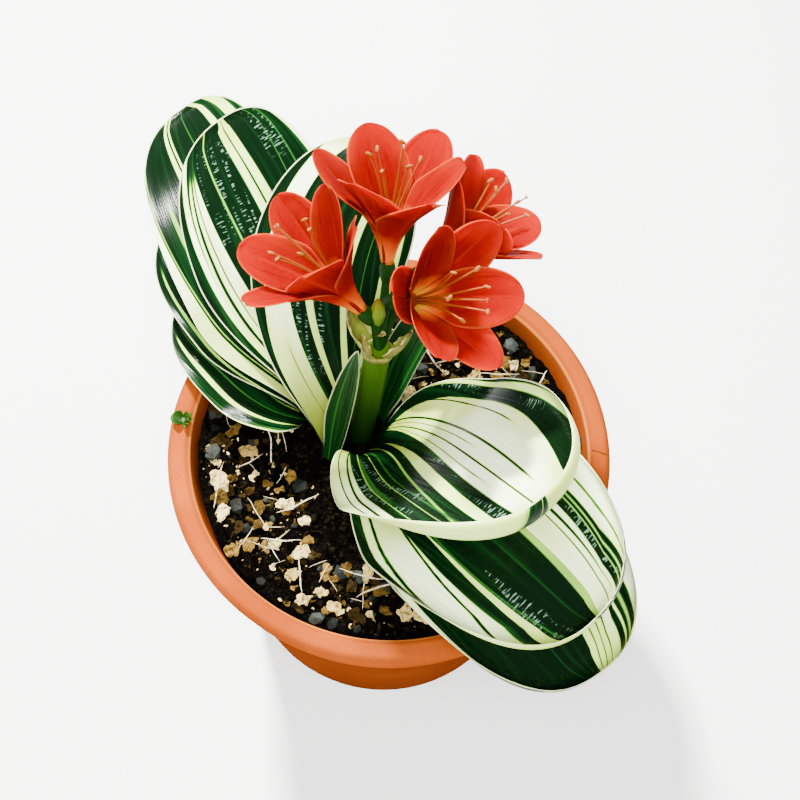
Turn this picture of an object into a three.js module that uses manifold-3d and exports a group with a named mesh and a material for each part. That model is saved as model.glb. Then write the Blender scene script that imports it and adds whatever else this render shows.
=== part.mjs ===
// A broad-leaved, white-striped clivia in flower, in a round terracotta pot.
// Millimetres, +Z up. The origin is the centre of the pot's underside, where the pot stands.
import * as THREE from "three";
import { mergeVertices } from "three/addons/utils/BufferGeometryUtils.js";
import Module from "manifold-3d";

const wasm = await Module();
wasm.setup();

// ---------------------------------------------------------------- driving dimensions
const GAP = 0.3; // clearance between pieces that touch

const POT = {
  height: 200,
  rimRadius: 120,
  rimWidth: 13,
  bandHeight: 27,
  bandStep: 5,
  bandLean: 4, // how much narrower the band is at its foot than at the rim
  footRadius: 91,
  floor: 9,
  wall: 10,
  footChamfer: 4,
  rimEdge: 3.5, // rounding of the rim's outer edge
  lipEdge: 2.5, // and of its inner edge
  drainRadius: 6,
  drainRing: 48,
  drains: 4,
  drainSides: 12,
  sides: 48,
};

// The soil is level round the neck, and rises a little towards the wall.
const SOIL_TOP = 180;
const SOIL = { sides: 40, level: 66, rise: [[84, 3], [97, 7]], brim: 8 };
const CHIPS = {
  seed: 41,
  count: 26,
  inner: 38,
  clear: 11, // from the wall
  size: [3, 8.5],
  height: [1.2, 3],
  buried: 4,
  corners: 6,
  narrow: 0.7,
  tilt: 0.25,
};
const STRAWS = { count: 13, inner: 42, clear: 18, length: [14, 34], width: 1.3, height: 3 };
const GOLDEN_TURN = 2.4; // radians between one scattered bit and the next

// The neck is where the leaf sheaths nest, in two ranks that fan out along one line.
const NECK = { x: -22, y: 9, fan: 136, depth: 11 };
const HEART = { along: 4.8, long: 32, wide: 25 }; // the hollow in the soil that the sheaths fill
const LEAF_THICKNESS = 1.2;

// Each leaf, from the lowest of its rank to the highest. Degrees and millimetres:
// seat      place of the sheath along the fan line, and beside it
// heading   compass direction of the blade at the neck, and how far it swings by the tip
// rise      slope of the midrib at the neck and at the tip
// twist     turn of the blade about its midrib at the neck and at the tip
// half      half the width of the blade where it is broadest, which is at "widest" of the length
// sheath    half the width of the sheath and the radius that it is rolled to
// opens     how far along the midrib the blade lies open
// cup       crosswise curvature of the open blade, 1/mm
// roll      how far the margin turns up and over at the tip
// point     how blunt the tip is, where it is not as blunt as the others
// rows      rows of faces, where it has fewer than the others
const LEAVES = [
  { name: "leaf_rear_1", seat: [29.6, -0.5], heading: [157, -17], rise: [75, -35], twist: [-1, -26],
    length: 112, half: 44, widest: 0.25, sheath: [12.5, 20], opens: 50, cup: 0.002, roll: 30 },
  { name: "leaf_rear_2", seat: [21.5, 0], heading: [138, -5], rise: [71, -34], twist: [4, -35],
    length: 162, half: 39.5, widest: 0.48, sheath: [13.5, 17], opens: 66, cup: 0.003, roll: 30 },
  { name: "leaf_rear_3", seat: [18, 0], heading: [134, -21], rise: [69, -24], twist: [2, -23],
    length: 214, half: 43, widest: 0.4, sheath: [12, 14.5], opens: 78, cup: 0.003, roll: 30 },
  { name: "leaf_rear_4", seat: [14.5, 0], heading: [124, -9], rise: [70, 3], twist: [9, -31],
    length: 184, half: 43, widest: 0.58, sheath: [12, 14], opens: 88, cup: 0.003, roll: 30 },
  { name: "leaf_rear_5", seat: [9.7, 5.8], heading: [131, -88], rise: [84, 13], twist: [1, 0],
    length: 176, half: 39.5, widest: 0.7, sheath: [10, 12], opens: 80, cup: -0.002, roll: 25 },
  { name: "leaf_front_1", seat: [-19, 0], heading: [-40, -10], rise: [53, -30], twist: [1, 9],
    length: 180, half: 52, widest: 0.5, sheath: [15, 16], opens: 60, cup: 0.0015, roll: 125 },
  { name: "leaf_front_2", seat: [-15.5, 0], heading: [-43, 1], rise: [63, -17], twist: [3, 12],
    length: 176, half: 55, widest: 0.48, sheath: [13.5, 15], opens: 72, cup: 0.003, roll: 125 },
  { name: "leaf_front_3", seat: [-12, 0], heading: [-42, 5], rise: [69, 23], twist: [-5, -5],
    length: 169, half: 55, widest: 0.53, sheath: [12, 14], opens: 85, cup: 0.0055, roll: 125 },
  { name: "leaf_young_left", seat: [-3, 17], heading: [46, 8], rise: [79, 77], twist: [0, 0],
    length: 102, half: 9.5, widest: 0.45, sheath: [6, 7], opens: 45, cup: 0.11, roll: 0, point: 1.5,
    rows: 8 },
  { name: "leaf_young_right", seat: [-2.5, -20], heading: [34, -6], rise: [80, 66], twist: [0, 0],
    length: 122, half: 14.5, widest: 0.5, sheath: [6, 7], opens: 45, cup: 0.06, roll: 0, point: 1.8,
    rows: 8 },
];
const LEAF_ROWS = 13;
const LEAF_COLUMNS = 4;
const LEAF_POINT = 2.4;
const ROW_GATHER = 1.7; // rows draw together towards the tip
const LIP_STEPS = 2;
const LIP_SHARE = 0.36; // the most of half a leaf's width that its rolled margin takes
const LIP_START = 0.3; // the share of the length from which the margin rolls up

// The flower stalk: flattened, from the neck to the umbel.
const SCAPE = { foot: [-18, 9], top: [-8, 10.5, 286], half: [6.6, 4.7], sides: 12 };
const UMBEL = new THREE.Vector3(...SCAPE.top);

// A flower's own stalk, from the umbel to its ovary: radii along it, and how it bows.
const PEDICEL = { radii: [2.6, 2.2, 2.1, 2.2, 2.6], sides: 6, drop: 1.5, bow: 3, bend: 0.55 };
const OVARY = { drop: 12, seat: 4, profile: [[0, 0], [2.6, 2], [3.9, 7], [3.4, 11.7], [0, 11.7]] };

// The closed bud on its own stalk, and the papery bracts round the foot of the umbel:
// where each one rises from round the scape, its tip, and half its width.
const BUD = {
  foot: [-9, 15.8, 296.5],
  tip: [-9.7, 23.5, 309],
  stalk: [2, 1.8],
  profile: [[0, 0], [1.9, 0.12], [3.5, 0.42], [2.8, 0.72], [1.05, 0.95], [0, 1]],
};
const SPATHE = {
  from: 0.945,
  to: 0.979,
  drop: 3.5, // of the bracts' feet below the umbel
  wall: 1.1,
  thickness: 0.8,
  rows: 5,
  columns: 3,
  bulge: 3,
  girth: 1.05, // of a bract's tip, in halves of its width
  neck: 0.95, // width at its foot, beside its greatest width
  bracts: [
    { turn: 168, tip: [-24, 19.5, 303], half: 8.2 },
    { turn: -25, tip: [7, 12.5, 299], half: 8.2 },
    { turn: 228, tip: [-15.2, 11, 296], half: 4.6 },
  ],
};

// The seedling on the rim: one round, cupped seed leaf and a fringe of small pointed ones.
// Each leaf: compass direction, slope, length, half width, and how far its margins cup up.
const SPRIG = {
  place: [-111, 3.5],
  foot: [[0, 0], [1.9, 0], [1.7, 2.4], [0, 2.4]],
  root: 1.4,
  thickness: 0.7,
  seedLeaf: { turn: 176, lift: 14, reach: 7.6, half: 4.2, cup: 2.4 },
  fringe: { count: 7, from: -78, step: 26, lift: [18, 62], reach: 5.6, half: 1.1, cup: 0.3 },
};
const LEAFLET = {
  outline: [[0, -0.3], [0, 0], [0, 0.3], [0.45, -1], [0.45, 0], [0.45, 1]].concat([
    [0.85, -0.7], [0.85, 0], [0.85, 0.7], [1, 0],
  ]),
  faces: [[0, 3, 4], [0, 4, 1], [1, 4, 5], [1, 5, 2], [3, 6, 7]].concat([
    [3, 7, 4], [4, 7, 8], [4, 8, 5], [6, 9, 7], [7, 9, 8],
  ]),
};

// Each flower: where its tube starts, the lean and compass direction of its axis,
// the turn of its tepals about the axis, how wide its mouth opens, and its size beside the others.
const FLOWERS = [
  { name: "flower_1", base: [-17.3, 19.6, 304.8], lean: 35, heading: 169, turn: 34, open: 35, size: 1 },
  { name: "flower_2", base: [-6.5, 40.8, 314.2], lean: 22, heading: 88, turn: -62, open: 38, size: 1 },
  { name: "flower_3", base: [0, 23, 308.4], lean: 40, heading: -33, turn: 76, open: 39, size: 0.98 },
  { name: "flower_4", base: [10.6, 46.6, 300.4], lean: 46, heading: 25, turn: 20, open: 34, size: 0.93 },
];
const TEPAL = {
  length: 64,
  thickness: 0.9,
  from: 0.11, // the share of its length at which a tepal leaves the solid tube
  rows: 6,
  columns: 4,
  widest: 0.62,
  flared: 0.66, // the share of its length by which it leans out as far as it will
  startLean: 8,
  root: 1.5, // distance of its midline from the axis at the base
  foot: 2.2, // half its width there
  point: 2.4,
  crowd: 0.97, // the share of the tube's girth that six tepals may fill
  flatten: 1.6, // how much flatter it is across at the tip than in the tube
  inner: { half: 14.8, offset: 0, extra: -2 },
  outer: { half: 13.4, offset: 1.4, extra: 4 },
};
const TUBE = { sides: 10, profile: [[0, 0], [2.7, 0], [5.4, 10], [5.4, 11], [0, 11]] };
const STAMEN = {
  hub: 12.5,
  hubProfile: [[0, 0], [2.2, 0], [2.2, 2.6], [0, 2.6]],
  root: 1.3,
  length: 44,
  longer: 3, // every other one
  spread: 10,
  turn: 14,
  styleLength: 52,
  styleSpread: 5,
  styleTurn: 200,
  radius: 0.7,
  anther: [1.1, 2.2],
};

// ---------------------------------------------------------------- helpers
const rad = THREE.MathUtils.degToRad;
const mix = THREE.MathUtils.lerp;
const vec = (x, y, z) => new THREE.Vector3(x, y, z);

function smooth(x) {
  return THREE.MathUtils.smoothstep(x, 0, 1);
}

// A repeatable run of draws between 0 and 1.
function draws(seed) {
  let state = seed;
  return () => {
    state = (state * 1664525 + 1013904223) % 4294967296;
    return state / 4294967296;
  };
}

// A direction from its compass heading and its slope, in degrees.
function toward(heading, slope) {
  const flat = Math.cos(rad(slope));
  return vec(flat * Math.cos(rad(heading)), flat * Math.sin(rad(heading)), Math.sin(rad(slope)));
}

function geometryOf(position, index) {
  const geometry = new THREE.BufferGeometry();
  geometry.setAttribute("position", new THREE.Float32BufferAttribute(position, 3));
  geometry.setIndex(index);
  return geometry;
}

// A closed body from an open sheet of triangles: the sheet is offset to both sides along its
// normals, and a wall closes it along every edge that belongs to one triangle only.
function plate(points, normals, faces, thickness) {
  const count = points.length;
  const position = [];
  for (const side of [0.5, -0.5])
    points.forEach((point, i) => {
      position.push(...point.clone().addScaledVector(normals[i], side * thickness));
    });
  const index = [];
  const edges = new Map();
  for (const face of faces) {
    const [a, b, c] = face;
    index.push(a, b, c, count + a, count + c, count + b);
    face.forEach((from, i) => {
      const to = face[(i + 1) % 3];
      if (!edges.delete(`${to}:${from}`)) edges.set(`${from}:${to}`, [from, to]);
    });
  }
  for (const [from, to] of edges.values())
    index.push(to, from, count + from, to, count + from, count + to);
  return geometryOf(position, index);
}

// A closed rod round a line of points, with a radius at each one.
// flat is the ratio of its depth to its width, and side is the direction of the width.
function rod(points, radii, sides, flat = 1, side = vec(1, 0, 0)) {
  const position = [];
  const index = [];
  points.forEach((point, i) => {
    const before = points[Math.max(i - 1, 0)];
    const after = points[Math.min(i + 1, points.length - 1)];
    const along = after.clone().sub(before).normalize();
    const deep = along.clone().cross(side).normalize();
    const wide = deep.clone().cross(along);
    for (let k = 0; k < sides; k++) {
      const angle = (2 * Math.PI * (k + 0.5)) / sides;
      const spot = point.clone();
      spot.addScaledVector(wide, radii[i] * Math.cos(angle));
      spot.addScaledVector(deep, radii[i] * flat * Math.sin(angle));
      position.push(...spot);
      if (i === 0) continue;
      const next = (k + 1) % sides;
      const [a, b] = [(i - 1) * sides + k, (i - 1) * sides + next];
      index.push(a, b, a + sides, b, b + sides, a + sides);
    }
  });
  const last = (points.length - 1) * sides;
  for (let k = 1; k < sides - 1; k++) index.push(0, k + 1, k, last, last + k, last + k + 1);
  return geometryOf(position, index);
}

function solid(geometry) {
  const bare = geometry.clone();
  bare.deleteAttribute("normal");
  bare.deleteAttribute("uv");
  const merged = mergeVertices(bare, 1e-4);
  const made = new wasm.Manifold(
    new wasm.Mesh({
      numProp: 3,
      vertProperties: merged.attributes.position.array,
      triVerts: new Uint32Array(merged.index.array),
    }),
  );
  return made;
}

function geometryFrom(body) {
  const mesh = body.getMesh();
  return geometryOf(Array.from(mesh.vertProperties), Array.from(mesh.triVerts));
}

function fuse(geometries) {
  return geometryFrom(geometries.map(solid).reduce((whole, piece) => whole.add(piece)));
}

function finish(color, roughness) {
  return new THREE.MeshStandardMaterial({ color, roughness, metalness: 0, flatShading: true });
}

const FINISH = {
  terracotta: finish(0xe08a5c, 0.75),
  soil: finish(0x17130f, 0.95),
  leaf: finish(0x14521c, 0.3),
  stalk: finish(0x4b8200, 0.4),
  spathe: finish(0xb9b27a, 0.7),
  seedling: finish(0x3f7d20, 0.5),
  tepal: finish(0xe8301c, 0.45),
  stamen: finish(0xf0a040, 0.5),
};

const plant = new THREE.Group();
function add(name, geometry, material) {
  const mesh = new THREE.Mesh(geometry, material);
  mesh.name = name;
  plant.add(mesh);
}

// ---------------------------------------------------------------- pot and soil
function lathe(profile, sides = POT.sides) {
  const points = profile.map(([r, z]) => new THREE.Vector2(r, z));
  return new THREE.LatheGeometry(points, sides).rotateX(Math.PI / 2);
}

const INNER_RIM = POT.rimRadius - POT.rimWidth;
const BAND_FOOT = POT.height - POT.bandHeight;
const WALL_TOP = POT.rimRadius - POT.bandLean - POT.bandStep;

// The inner radius of the pot's wall at a height.
function innerRadius(z) {
  return mix(POT.footRadius - POT.wall, INNER_RIM - 1, (z - POT.floor) / (POT.height - POT.floor));
}

function pot() {
  const body = lathe([
    [0, 0],
    [POT.footRadius - POT.footChamfer, 0],
    [POT.footRadius, POT.footChamfer],
    [WALL_TOP, BAND_FOOT],
    [WALL_TOP + POT.bandStep, BAND_FOOT + 2],
    [POT.rimRadius, POT.height - POT.rimEdge],
    [POT.rimRadius - POT.rimEdge, POT.height],
    [INNER_RIM + POT.lipEdge, POT.height],
    [INNER_RIM, POT.height - POT.lipEdge],
    [innerRadius(POT.floor), POT.floor],
    [0, POT.floor],
  ]);
  let made = solid(body);
  for (let i = 0; i < POT.drains; i++) {
    const drill = [POT.drainRadius, POT.drainRadius, 3 * POT.floor, POT.drainSides];
    const hole = new THREE.CylinderGeometry(...drill);
    const angle = (2 * Math.PI * i) / POT.drains;
    hole.rotateX(Math.PI / 2);
    hole.translate(POT.drainRing * Math.cos(angle), POT.drainRing * Math.sin(angle), 0);
    made = made.subtract(solid(hole));
  }
  return geometryFrom(made);
}

const FAN_LINE = toward(NECK.fan, 0);
const FAN_SIDE = toward(NECK.fan + 90, 0);

// A place at the neck, by its distance along the fan line and beside it.
function neckPlace(along, beside, z) {
  const place = vec(NECK.x, NECK.y, z);
  return place.addScaledVector(FAN_LINE, along).addScaledVector(FAN_SIDE, beside);
}

// How high the soil stands over its level round the neck, at a distance from the pot's axis.
function soilRise(r) {
  const line = [[SOIL.level, 0], ...SOIL.rise, [innerRadius(SOIL_TOP + SOIL.brim), SOIL.brim]];
  const next = line.findIndex(([reach]) => reach >= r);
  if (next <= 0) return next ? SOIL.brim : 0;
  const [[r0, z0], [r1, z1]] = [line[next - 1], line[next]];
  return mix(z0, z1, (r - r0) / (r1 - r0));
}

// A flat, ragged chip that lies half sunk in the soil.
function chip(x, y, size, height, turn, tilt, random) {
  const outline = new THREE.Shape();
  for (let k = 0; k < CHIPS.corners; k++) {
    const angle = (2 * Math.PI * k) / CHIPS.corners;
    const reach = size * mix(0.62, 1, random());
    const spot = [reach * Math.cos(angle), CHIPS.narrow * reach * Math.sin(angle)];
    if (k) outline.lineTo(...spot);
    else outline.moveTo(...spot);
  }
  const depth = height + CHIPS.buried;
  const made = new THREE.ExtrudeGeometry(outline, { depth, bevelEnabled: false });
  made.translate(0, 0, -CHIPS.buried).rotateX(tilt).rotateZ(turn);
  return made.translate(x, y, SOIL_TOP + soilRise(Math.hypot(x, y)));
}

function soil() {
  const brim = SOIL_TOP + SOIL.brim;
  const edge = innerRadius(brim) - GAP;
  const foot = innerRadius(POT.floor + GAP) - GAP;
  const surface = SOIL.rise.map(([r, z]) => [r, SOIL_TOP + z]).reverse();
  const under = [[0, POT.floor + GAP], [foot, POT.floor + GAP]];
  const top = [[edge, brim], ...surface, [SOIL.level, SOIL_TOP], [0, SOIL_TOP]];
  let made = solid(lathe([...under, ...top], SOIL.sides));
  const random = draws(CHIPS.seed);
  for (let i = 0; i < CHIPS.count; i++) {
    const angle = i * GOLDEN_TURN;
    const reach = mix(CHIPS.inner, edge - CHIPS.clear, Math.sqrt(random()));
    const size = mix(...CHIPS.size, random() ** 1.5);
    const spot = [reach * Math.cos(angle), reach * Math.sin(angle)];
    const tilt = mix(-CHIPS.tilt, CHIPS.tilt, random());
    const height = mix(...CHIPS.height, random());
    made = made.add(solid(chip(...spot, size, height, 2 * Math.PI * random(), tilt, random)));
  }
  for (let i = 0; i < STRAWS.count; i++) {
    const angle = i * GOLDEN_TURN + 1;
    const reach = mix(STRAWS.inner, edge - STRAWS.clear, random());
    const straw = new THREE.BoxGeometry(mix(...STRAWS.length, random()), STRAWS.width, STRAWS.height);
    straw.rotateZ(2 * Math.PI * random());
    const level = SOIL_TOP + soilRise(reach);
    straw.translate(reach * Math.cos(angle), reach * Math.sin(angle), level);
    made = made.add(solid(straw));
  }
  const heart = neckPlace(HEART.along, 0, SOIL_TOP - NECK.depth - 1);
  const mouth = new THREE.Shape().absellipse(0, 0, HEART.long, HEART.wide, 0, 2 * Math.PI);
  const hole = new THREE.ExtrudeGeometry(mouth, {
    depth: 60,
    bevelEnabled: false,
    curveSegments: 16,
  });
  hole.rotateZ(rad(NECK.fan)).translate(...heart);
  return geometryFrom(made.subtract(solid(hole)));
}

// ---------------------------------------------------------------- leaves
// The midrib of a leaf: places and frames along it, from the neck to the tip.
function midrib(leaf) {
  const steps = 48;
  const [along, beside] = leaf.seat;
  const place = neckPlace(along, beside, SOIL_TOP);
  const stations = [];
  for (let i = 0; i <= steps; i++) {
    const t = i / steps;
    const heading = leaf.heading[0] + leaf.heading[1] * t;
    const slope = mix(...leaf.rise, t);
    const ahead = toward(heading, slope);
    const up = toward(heading, slope + 90);
    const across = ahead.clone().cross(up);
    const twist = rad(mix(...leaf.twist, t));
    const normal = up.clone().multiplyScalar(Math.cos(twist)).addScaledVector(across, Math.sin(twist));
    if (i) {
      const middle = ahead.clone().add(stations[i - 1].ahead);
      place.addScaledVector(middle, leaf.length / steps / 2);
    }
    stations.push({ place: place.clone(), ahead, normal });
  }
  return (s) => {
    const x = THREE.MathUtils.clamp((s / leaf.length) * steps, 0, steps);
    const i = Math.min(Math.floor(x), steps - 1);
    const [a, b] = [stations[i], stations[i + 1]];
    const station = {};
    for (const key of ["place", "ahead", "normal"]) station[key] = a[key].clone().lerp(b[key], x - i);
    station.ahead.normalize();
    station.normal.normalize();
    station.across = station.ahead.clone().cross(station.normal).normalize();
    return station;
  };
}

// Half the width of a leaf at a share t of its length: narrow sheath, broad blade, rounded tip.
function halfWidth(leaf, t) {
  if (t < leaf.widest) return mix(leaf.sheath[0], leaf.half, smooth(t / leaf.widest));
  const past = (t - leaf.widest) / (1 - leaf.widest);
  const point = leaf.point ?? LEAF_POINT;
  return leaf.half * Math.pow(Math.max(0, 1 - past ** point), 1 / point);
}

// A place on the open blade: s along the midrib and y across it, both in the surface.
function bladeSpot(leaf, rib, s, y) {
  const station = rib(s);
  const opened = smooth(s / leaf.opens);
  let bend = mix(1 / leaf.sheath[1], leaf.cup, opened);
  if (Math.abs(bend) < 1e-5) bend = 1e-5;
  const angle = bend * y;
  const place = station.place.clone();
  place.addScaledVector(station.across, Math.sin(angle) / bend);
  place.addScaledVector(station.normal, (1 - Math.cos(angle)) / bend);
  const across = station.across.clone().multiplyScalar(Math.cos(angle));
  across.addScaledVector(station.normal, Math.sin(angle));
  const normal = station.normal.clone().multiplyScalar(Math.cos(angle));
  normal.addScaledVector(station.across, -Math.sin(angle));
  return { place, ahead: station.ahead, across, normal };
}

// The leaf's outline at row i: the station, its outward direction in the surface, and the
// margin there, which turns up more and more towards the tip.
function marginAt(leaf, i) {
  const rows = leaf.rows ?? LEAF_ROWS;
  const share = (k) => 1 - (1 - k / rows) ** ROW_GATHER;
  const t = share(i);
  const [from, to] = [share(Math.max(i - 0.3, 0)), share(Math.min(i + 0.3, rows))];
  const ds = (to - from) * leaf.length;
  const dw = halfWidth(leaf, to) - halfWidth(leaf, from);
  const size = Math.hypot(ds, dw);
  const out = i === rows ? [1, 0] : [-dw / size, ds / size];
  const grown = smooth((t - LIP_START) / (1 - LIP_START));
  const angle = Math.max(rad(leaf.roll) * grown, 0.02);
  const width = leaf.half * mix(0.06, LIP_SHARE, grown * Math.min(1, leaf.roll / 120));
  const radius = width / angle;
  const reach = radius * Math.sin(Math.min(angle, Math.PI / 2));
  const s = t * leaf.length - reach * out[0];
  const y = halfWidth(leaf, t) - reach * out[1];
  return { s, y: i === rows ? 0 : y, out, angle, radius };
}

function leafBody(leaf) {
  const rows = leaf.rows ?? LEAF_ROWS;
  const rib = midrib(leaf);
  const points = [];
  const normals = [];
  const faces = [];
  const put = (place, normal) => {
    points.push(place);
    normals.push(normal);
    return points.length - 1;
  };
  const quad = (a, b, c, d) => faces.push([a, b, c], [a, c, d]);
  const sinks = [];
  const grid = [];
  // The first row is the sheath's foot, let straight down into the soil.
  for (let i = -1; i < rows; i++) {
    const margin = marginAt(leaf, Math.max(i, 0));
    const row = [];
    for (let j = 0; j <= LEAF_COLUMNS; j++) {
      const y = margin.y * ((2 * j) / LEAF_COLUMNS - 1);
      const spot = bladeSpot(leaf, rib, margin.s, y);
      const index = put(spot.place, spot.normal);
      if (i < 0) sinks.push(index);
      row.push(index);
    }
    grid.push(row);
  }
  for (let i = 0; i < rows; i++)
    for (let j = 0; j < LEAF_COLUMNS; j++)
      quad(grid[i][j], grid[i][j + 1], grid[i + 1][j + 1], grid[i + 1][j]);
  const end = marginAt(leaf, rows);
  const tip = bladeSpot(leaf, rib, end.s, 0);
  const tipIndex = put(tip.place, tip.normal);
  const last = grid[rows];
  for (let j = 0; j < LEAF_COLUMNS; j++) faces.push([last[j], last[j + 1], tipIndex]);

  // The margin, as a strip from the left foot round the tip to the right foot.
  const strip = [];
  const station = (i, side, inner) => {
    const margin = marginAt(leaf, Math.max(i, 0));
    const spot = bladeSpot(leaf, rib, margin.s, side * margin.y);
    const outward = spot.ahead.clone().multiplyScalar(margin.out[0]);
    outward.addScaledVector(spot.across, side * margin.out[1]).normalize();
    const line = [inner];
    for (let k = 1; k <= LIP_STEPS; k++) {
      const angle = (margin.angle * k) / LIP_STEPS;
      const place = spot.place.clone();
      place.addScaledVector(outward, margin.radius * Math.sin(angle));
      place.addScaledVector(spot.normal, margin.radius * (1 - Math.cos(angle)));
      const normal = spot.normal.clone().multiplyScalar(Math.cos(angle));
      normal.addScaledVector(outward, -Math.sin(angle));
      const index = put(place, normal);
      if (i < 0) sinks.push(index);
      line.push(index);
    }
    strip.push(line);
  };
  for (let i = -1; i < rows; i++) station(i, -1, grid[i + 1][0]);
  station(rows, 1, tipIndex);
  for (let i = rows - 1; i >= -1; i--) station(i, 1, grid[i + 1][LEAF_COLUMNS]);
  for (let k = 0; k + 1 < strip.length; k++)
    for (let q = 0; q < LIP_STEPS; q++)
      quad(strip[k][q], strip[k + 1][q], strip[k + 1][q + 1], strip[k][q + 1]);
  for (const index of sinks) points[index].z -= NECK.depth;
  return plate(points, normals, faces, LEAF_THICKNESS);
}

// ---------------------------------------------------------------- flower stalk
// The frame of a flower: its base, its axis, and two directions across it.
function flowerFrame(flower) {
  const axis = toward(flower.heading, 90 - flower.lean);
  const side = toward(flower.heading + 90, 0);
  return { base: vec(...flower.base), axis, side, front: axis.clone().cross(side) };
}

// A place in a flower: its height along the axis, its distance from it, and the turn round it.
function flowerSpot(frame, height, distance, turn) {
  const spot = frame.base.clone().addScaledVector(frame.axis, height);
  spot.addScaledVector(frame.side, distance * Math.cos(turn));
  return spot.addScaledVector(frame.front, distance * Math.sin(turn));
}

// A spindle of revolution that starts at a place and points along an axis.
function spindle(place, axis, profile, sides = 8) {
  const made = lathe(profile, sides);
  const turn = new THREE.Quaternion().setFromUnitVectors(vec(0, 0, 1), axis);
  return made.applyQuaternion(turn).translate(...place);
}

// The stalk, or a sleeve round a stretch of it, grown outwards by a margin.
function stalk(from, to, margin = 0) {
  const foot = vec(...SCAPE.foot, SOIL_TOP - NECK.depth);
  const [half, depth] = SCAPE.half;
  const places = [from, to].map((t) => foot.clone().lerp(UMBEL, t));
  return rod(places, [half + margin, half + margin], SCAPE.sides, (depth + margin) / (half + margin));
}

function scapeBody() {
  const pieces = [stalk(0, 1)];
  for (const flower of FLOWERS) {
    const frame = flowerFrame(flower);
    const top = flowerSpot(frame, 1 - OVARY.drop, 0, 0);
    const start = UMBEL.clone().add(vec(0, 0, -PEDICEL.drop));
    const bow = start.clone().lerp(top, PEDICEL.bend).add(vec(0, 0, PEDICEL.bow));
    const line = new THREE.CatmullRomCurve3([start, bow, top]).getPoints(3);
    line.push(flowerSpot(frame, OVARY.seat - OVARY.drop, 0, 0));
    pieces.push(rod(line, PEDICEL.radii, PEDICEL.sides));
    pieces.push(spindle(flowerSpot(frame, -OVARY.drop, 0, 0), frame.axis, OVARY.profile));
  }
  const start = UMBEL.clone().add(vec(0, 1, -5));
  const foot = vec(...BUD.foot);
  const axis = vec(...BUD.tip).sub(foot);
  const long = axis.length();
  axis.normalize();
  pieces.push(rod([start, foot.clone().addScaledVector(axis, 1)], BUD.stalk, PEDICEL.sides));
  pieces.push(spindle(foot, axis, BUD.profile.map(([r, h]) => [r, h * long])));
  return fuse(pieces);
}

// One bract: a boat-shaped sheet from the sleeve round the scape out and up to its tip.
function bract(form) {
  const { rows, columns } = SPATHE;
  const [half, depth] = SCAPE.half;
  const middle = GAP + SPATHE.wall / 2;
  const outward = toward(form.turn, 0);
  const foot = UMBEL.clone().add(vec(0, 0, -SPATHE.drop));
  foot.add(vec((half + middle) * outward.x, (depth + middle) * outward.y, 0));
  const tip = vec(...form.tip);
  const bend = foot.clone().lerp(tip, 0.4).addScaledVector(outward, SPATHE.bulge);
  const line = new THREE.QuadraticBezierCurve3(foot, bend, tip);
  const points = [];
  const normals = [];
  const faces = [];
  for (let i = 0; i < rows; i++) {
    const t = i / rows;
    const place = line.getPoint(t);
    const along = line.getTangent(t);
    const beside = outward.clone().cross(along).normalize();
    const face = along.clone().cross(beside).normalize();
    const width = form.half * Math.sqrt(1 - t ** 2.5) * mix(SPATHE.neck, 1, smooth(2 * t));
    const girth = mix(half, SPATHE.girth * form.half, t);
    const inside = face.dot(outward) > 0 ? -1 : 1;
    for (let j = 0; j <= columns; j++) {
      const angle = (width * ((2 * j) / columns - 1)) / girth;
      const spot = place.clone().addScaledVector(beside, girth * Math.sin(angle));
      spot.addScaledVector(face, inside * girth * (1 - Math.cos(angle)));
      points.push(spot);
      normals.push(face);
    }
  }
  points.push(tip);
  normals.push(normals[normals.length - 1]);
  const wide = columns + 1;
  for (let i = 0; i + 1 < rows; i++)
    for (let j = 0; j < columns; j++) {
      const a = i * wide + j;
      faces.push([a, a + wide, a + wide + 1], [a, a + wide + 1, a + 1]);
    }
  const last = (rows - 1) * wide;
  for (let j = 0; j < columns; j++) faces.push([last + j, rows * wide, last + j + 1]);
  return plate(points, normals, faces, SPATHE.thickness);
}

function spatheBody() {
  const sleeve = solid(stalk(SPATHE.from, SPATHE.to, GAP + SPATHE.wall));
  const bracts = SPATHE.bracts.map((form) => solid(bract(form)));
  const whole = bracts.reduce((made, piece) => made.add(piece), sleeve);
  return geometryFrom(whole.subtract(solid(stalk(0, 1.1, GAP))));
}

// A leaf of the seedling, from its root outwards.
function leaflet(root, form) {
  const out = toward(form.turn, form.lift);
  const beside = toward(form.turn + 90, 0);
  const normal = out.clone().cross(beside);
  const points = LEAFLET.outline.map(([along, across]) => {
    const spot = root.clone().addScaledVector(out, form.reach * along);
    spot.addScaledVector(beside, form.half * across);
    return spot.addScaledVector(normal, form.cup * across * across);
  });
  return plate(points, points.map(() => normal), LEAFLET.faces, SPRIG.thickness);
}

// The seedling lies on the rim, its leaves round a short foot.
function sprigBody() {
  const foot = vec(...SPRIG.place, POT.height + GAP);
  const root = foot.clone().add(vec(0, 0, SPRIG.root));
  const pieces = [spindle(foot, vec(0, 0, 1), SPRIG.foot), leaflet(root, SPRIG.seedLeaf)];
  const { count, from, step, lift, ...form } = SPRIG.fringe;
  for (let k = 0; k < count; k++) {
    const slope = mix(...lift, (k * 0.4) % 1);
    pieces.push(leaflet(root, { turn: from + step * k, lift: slope, ...form }));
  }
  return fuse(pieces);
}

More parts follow.
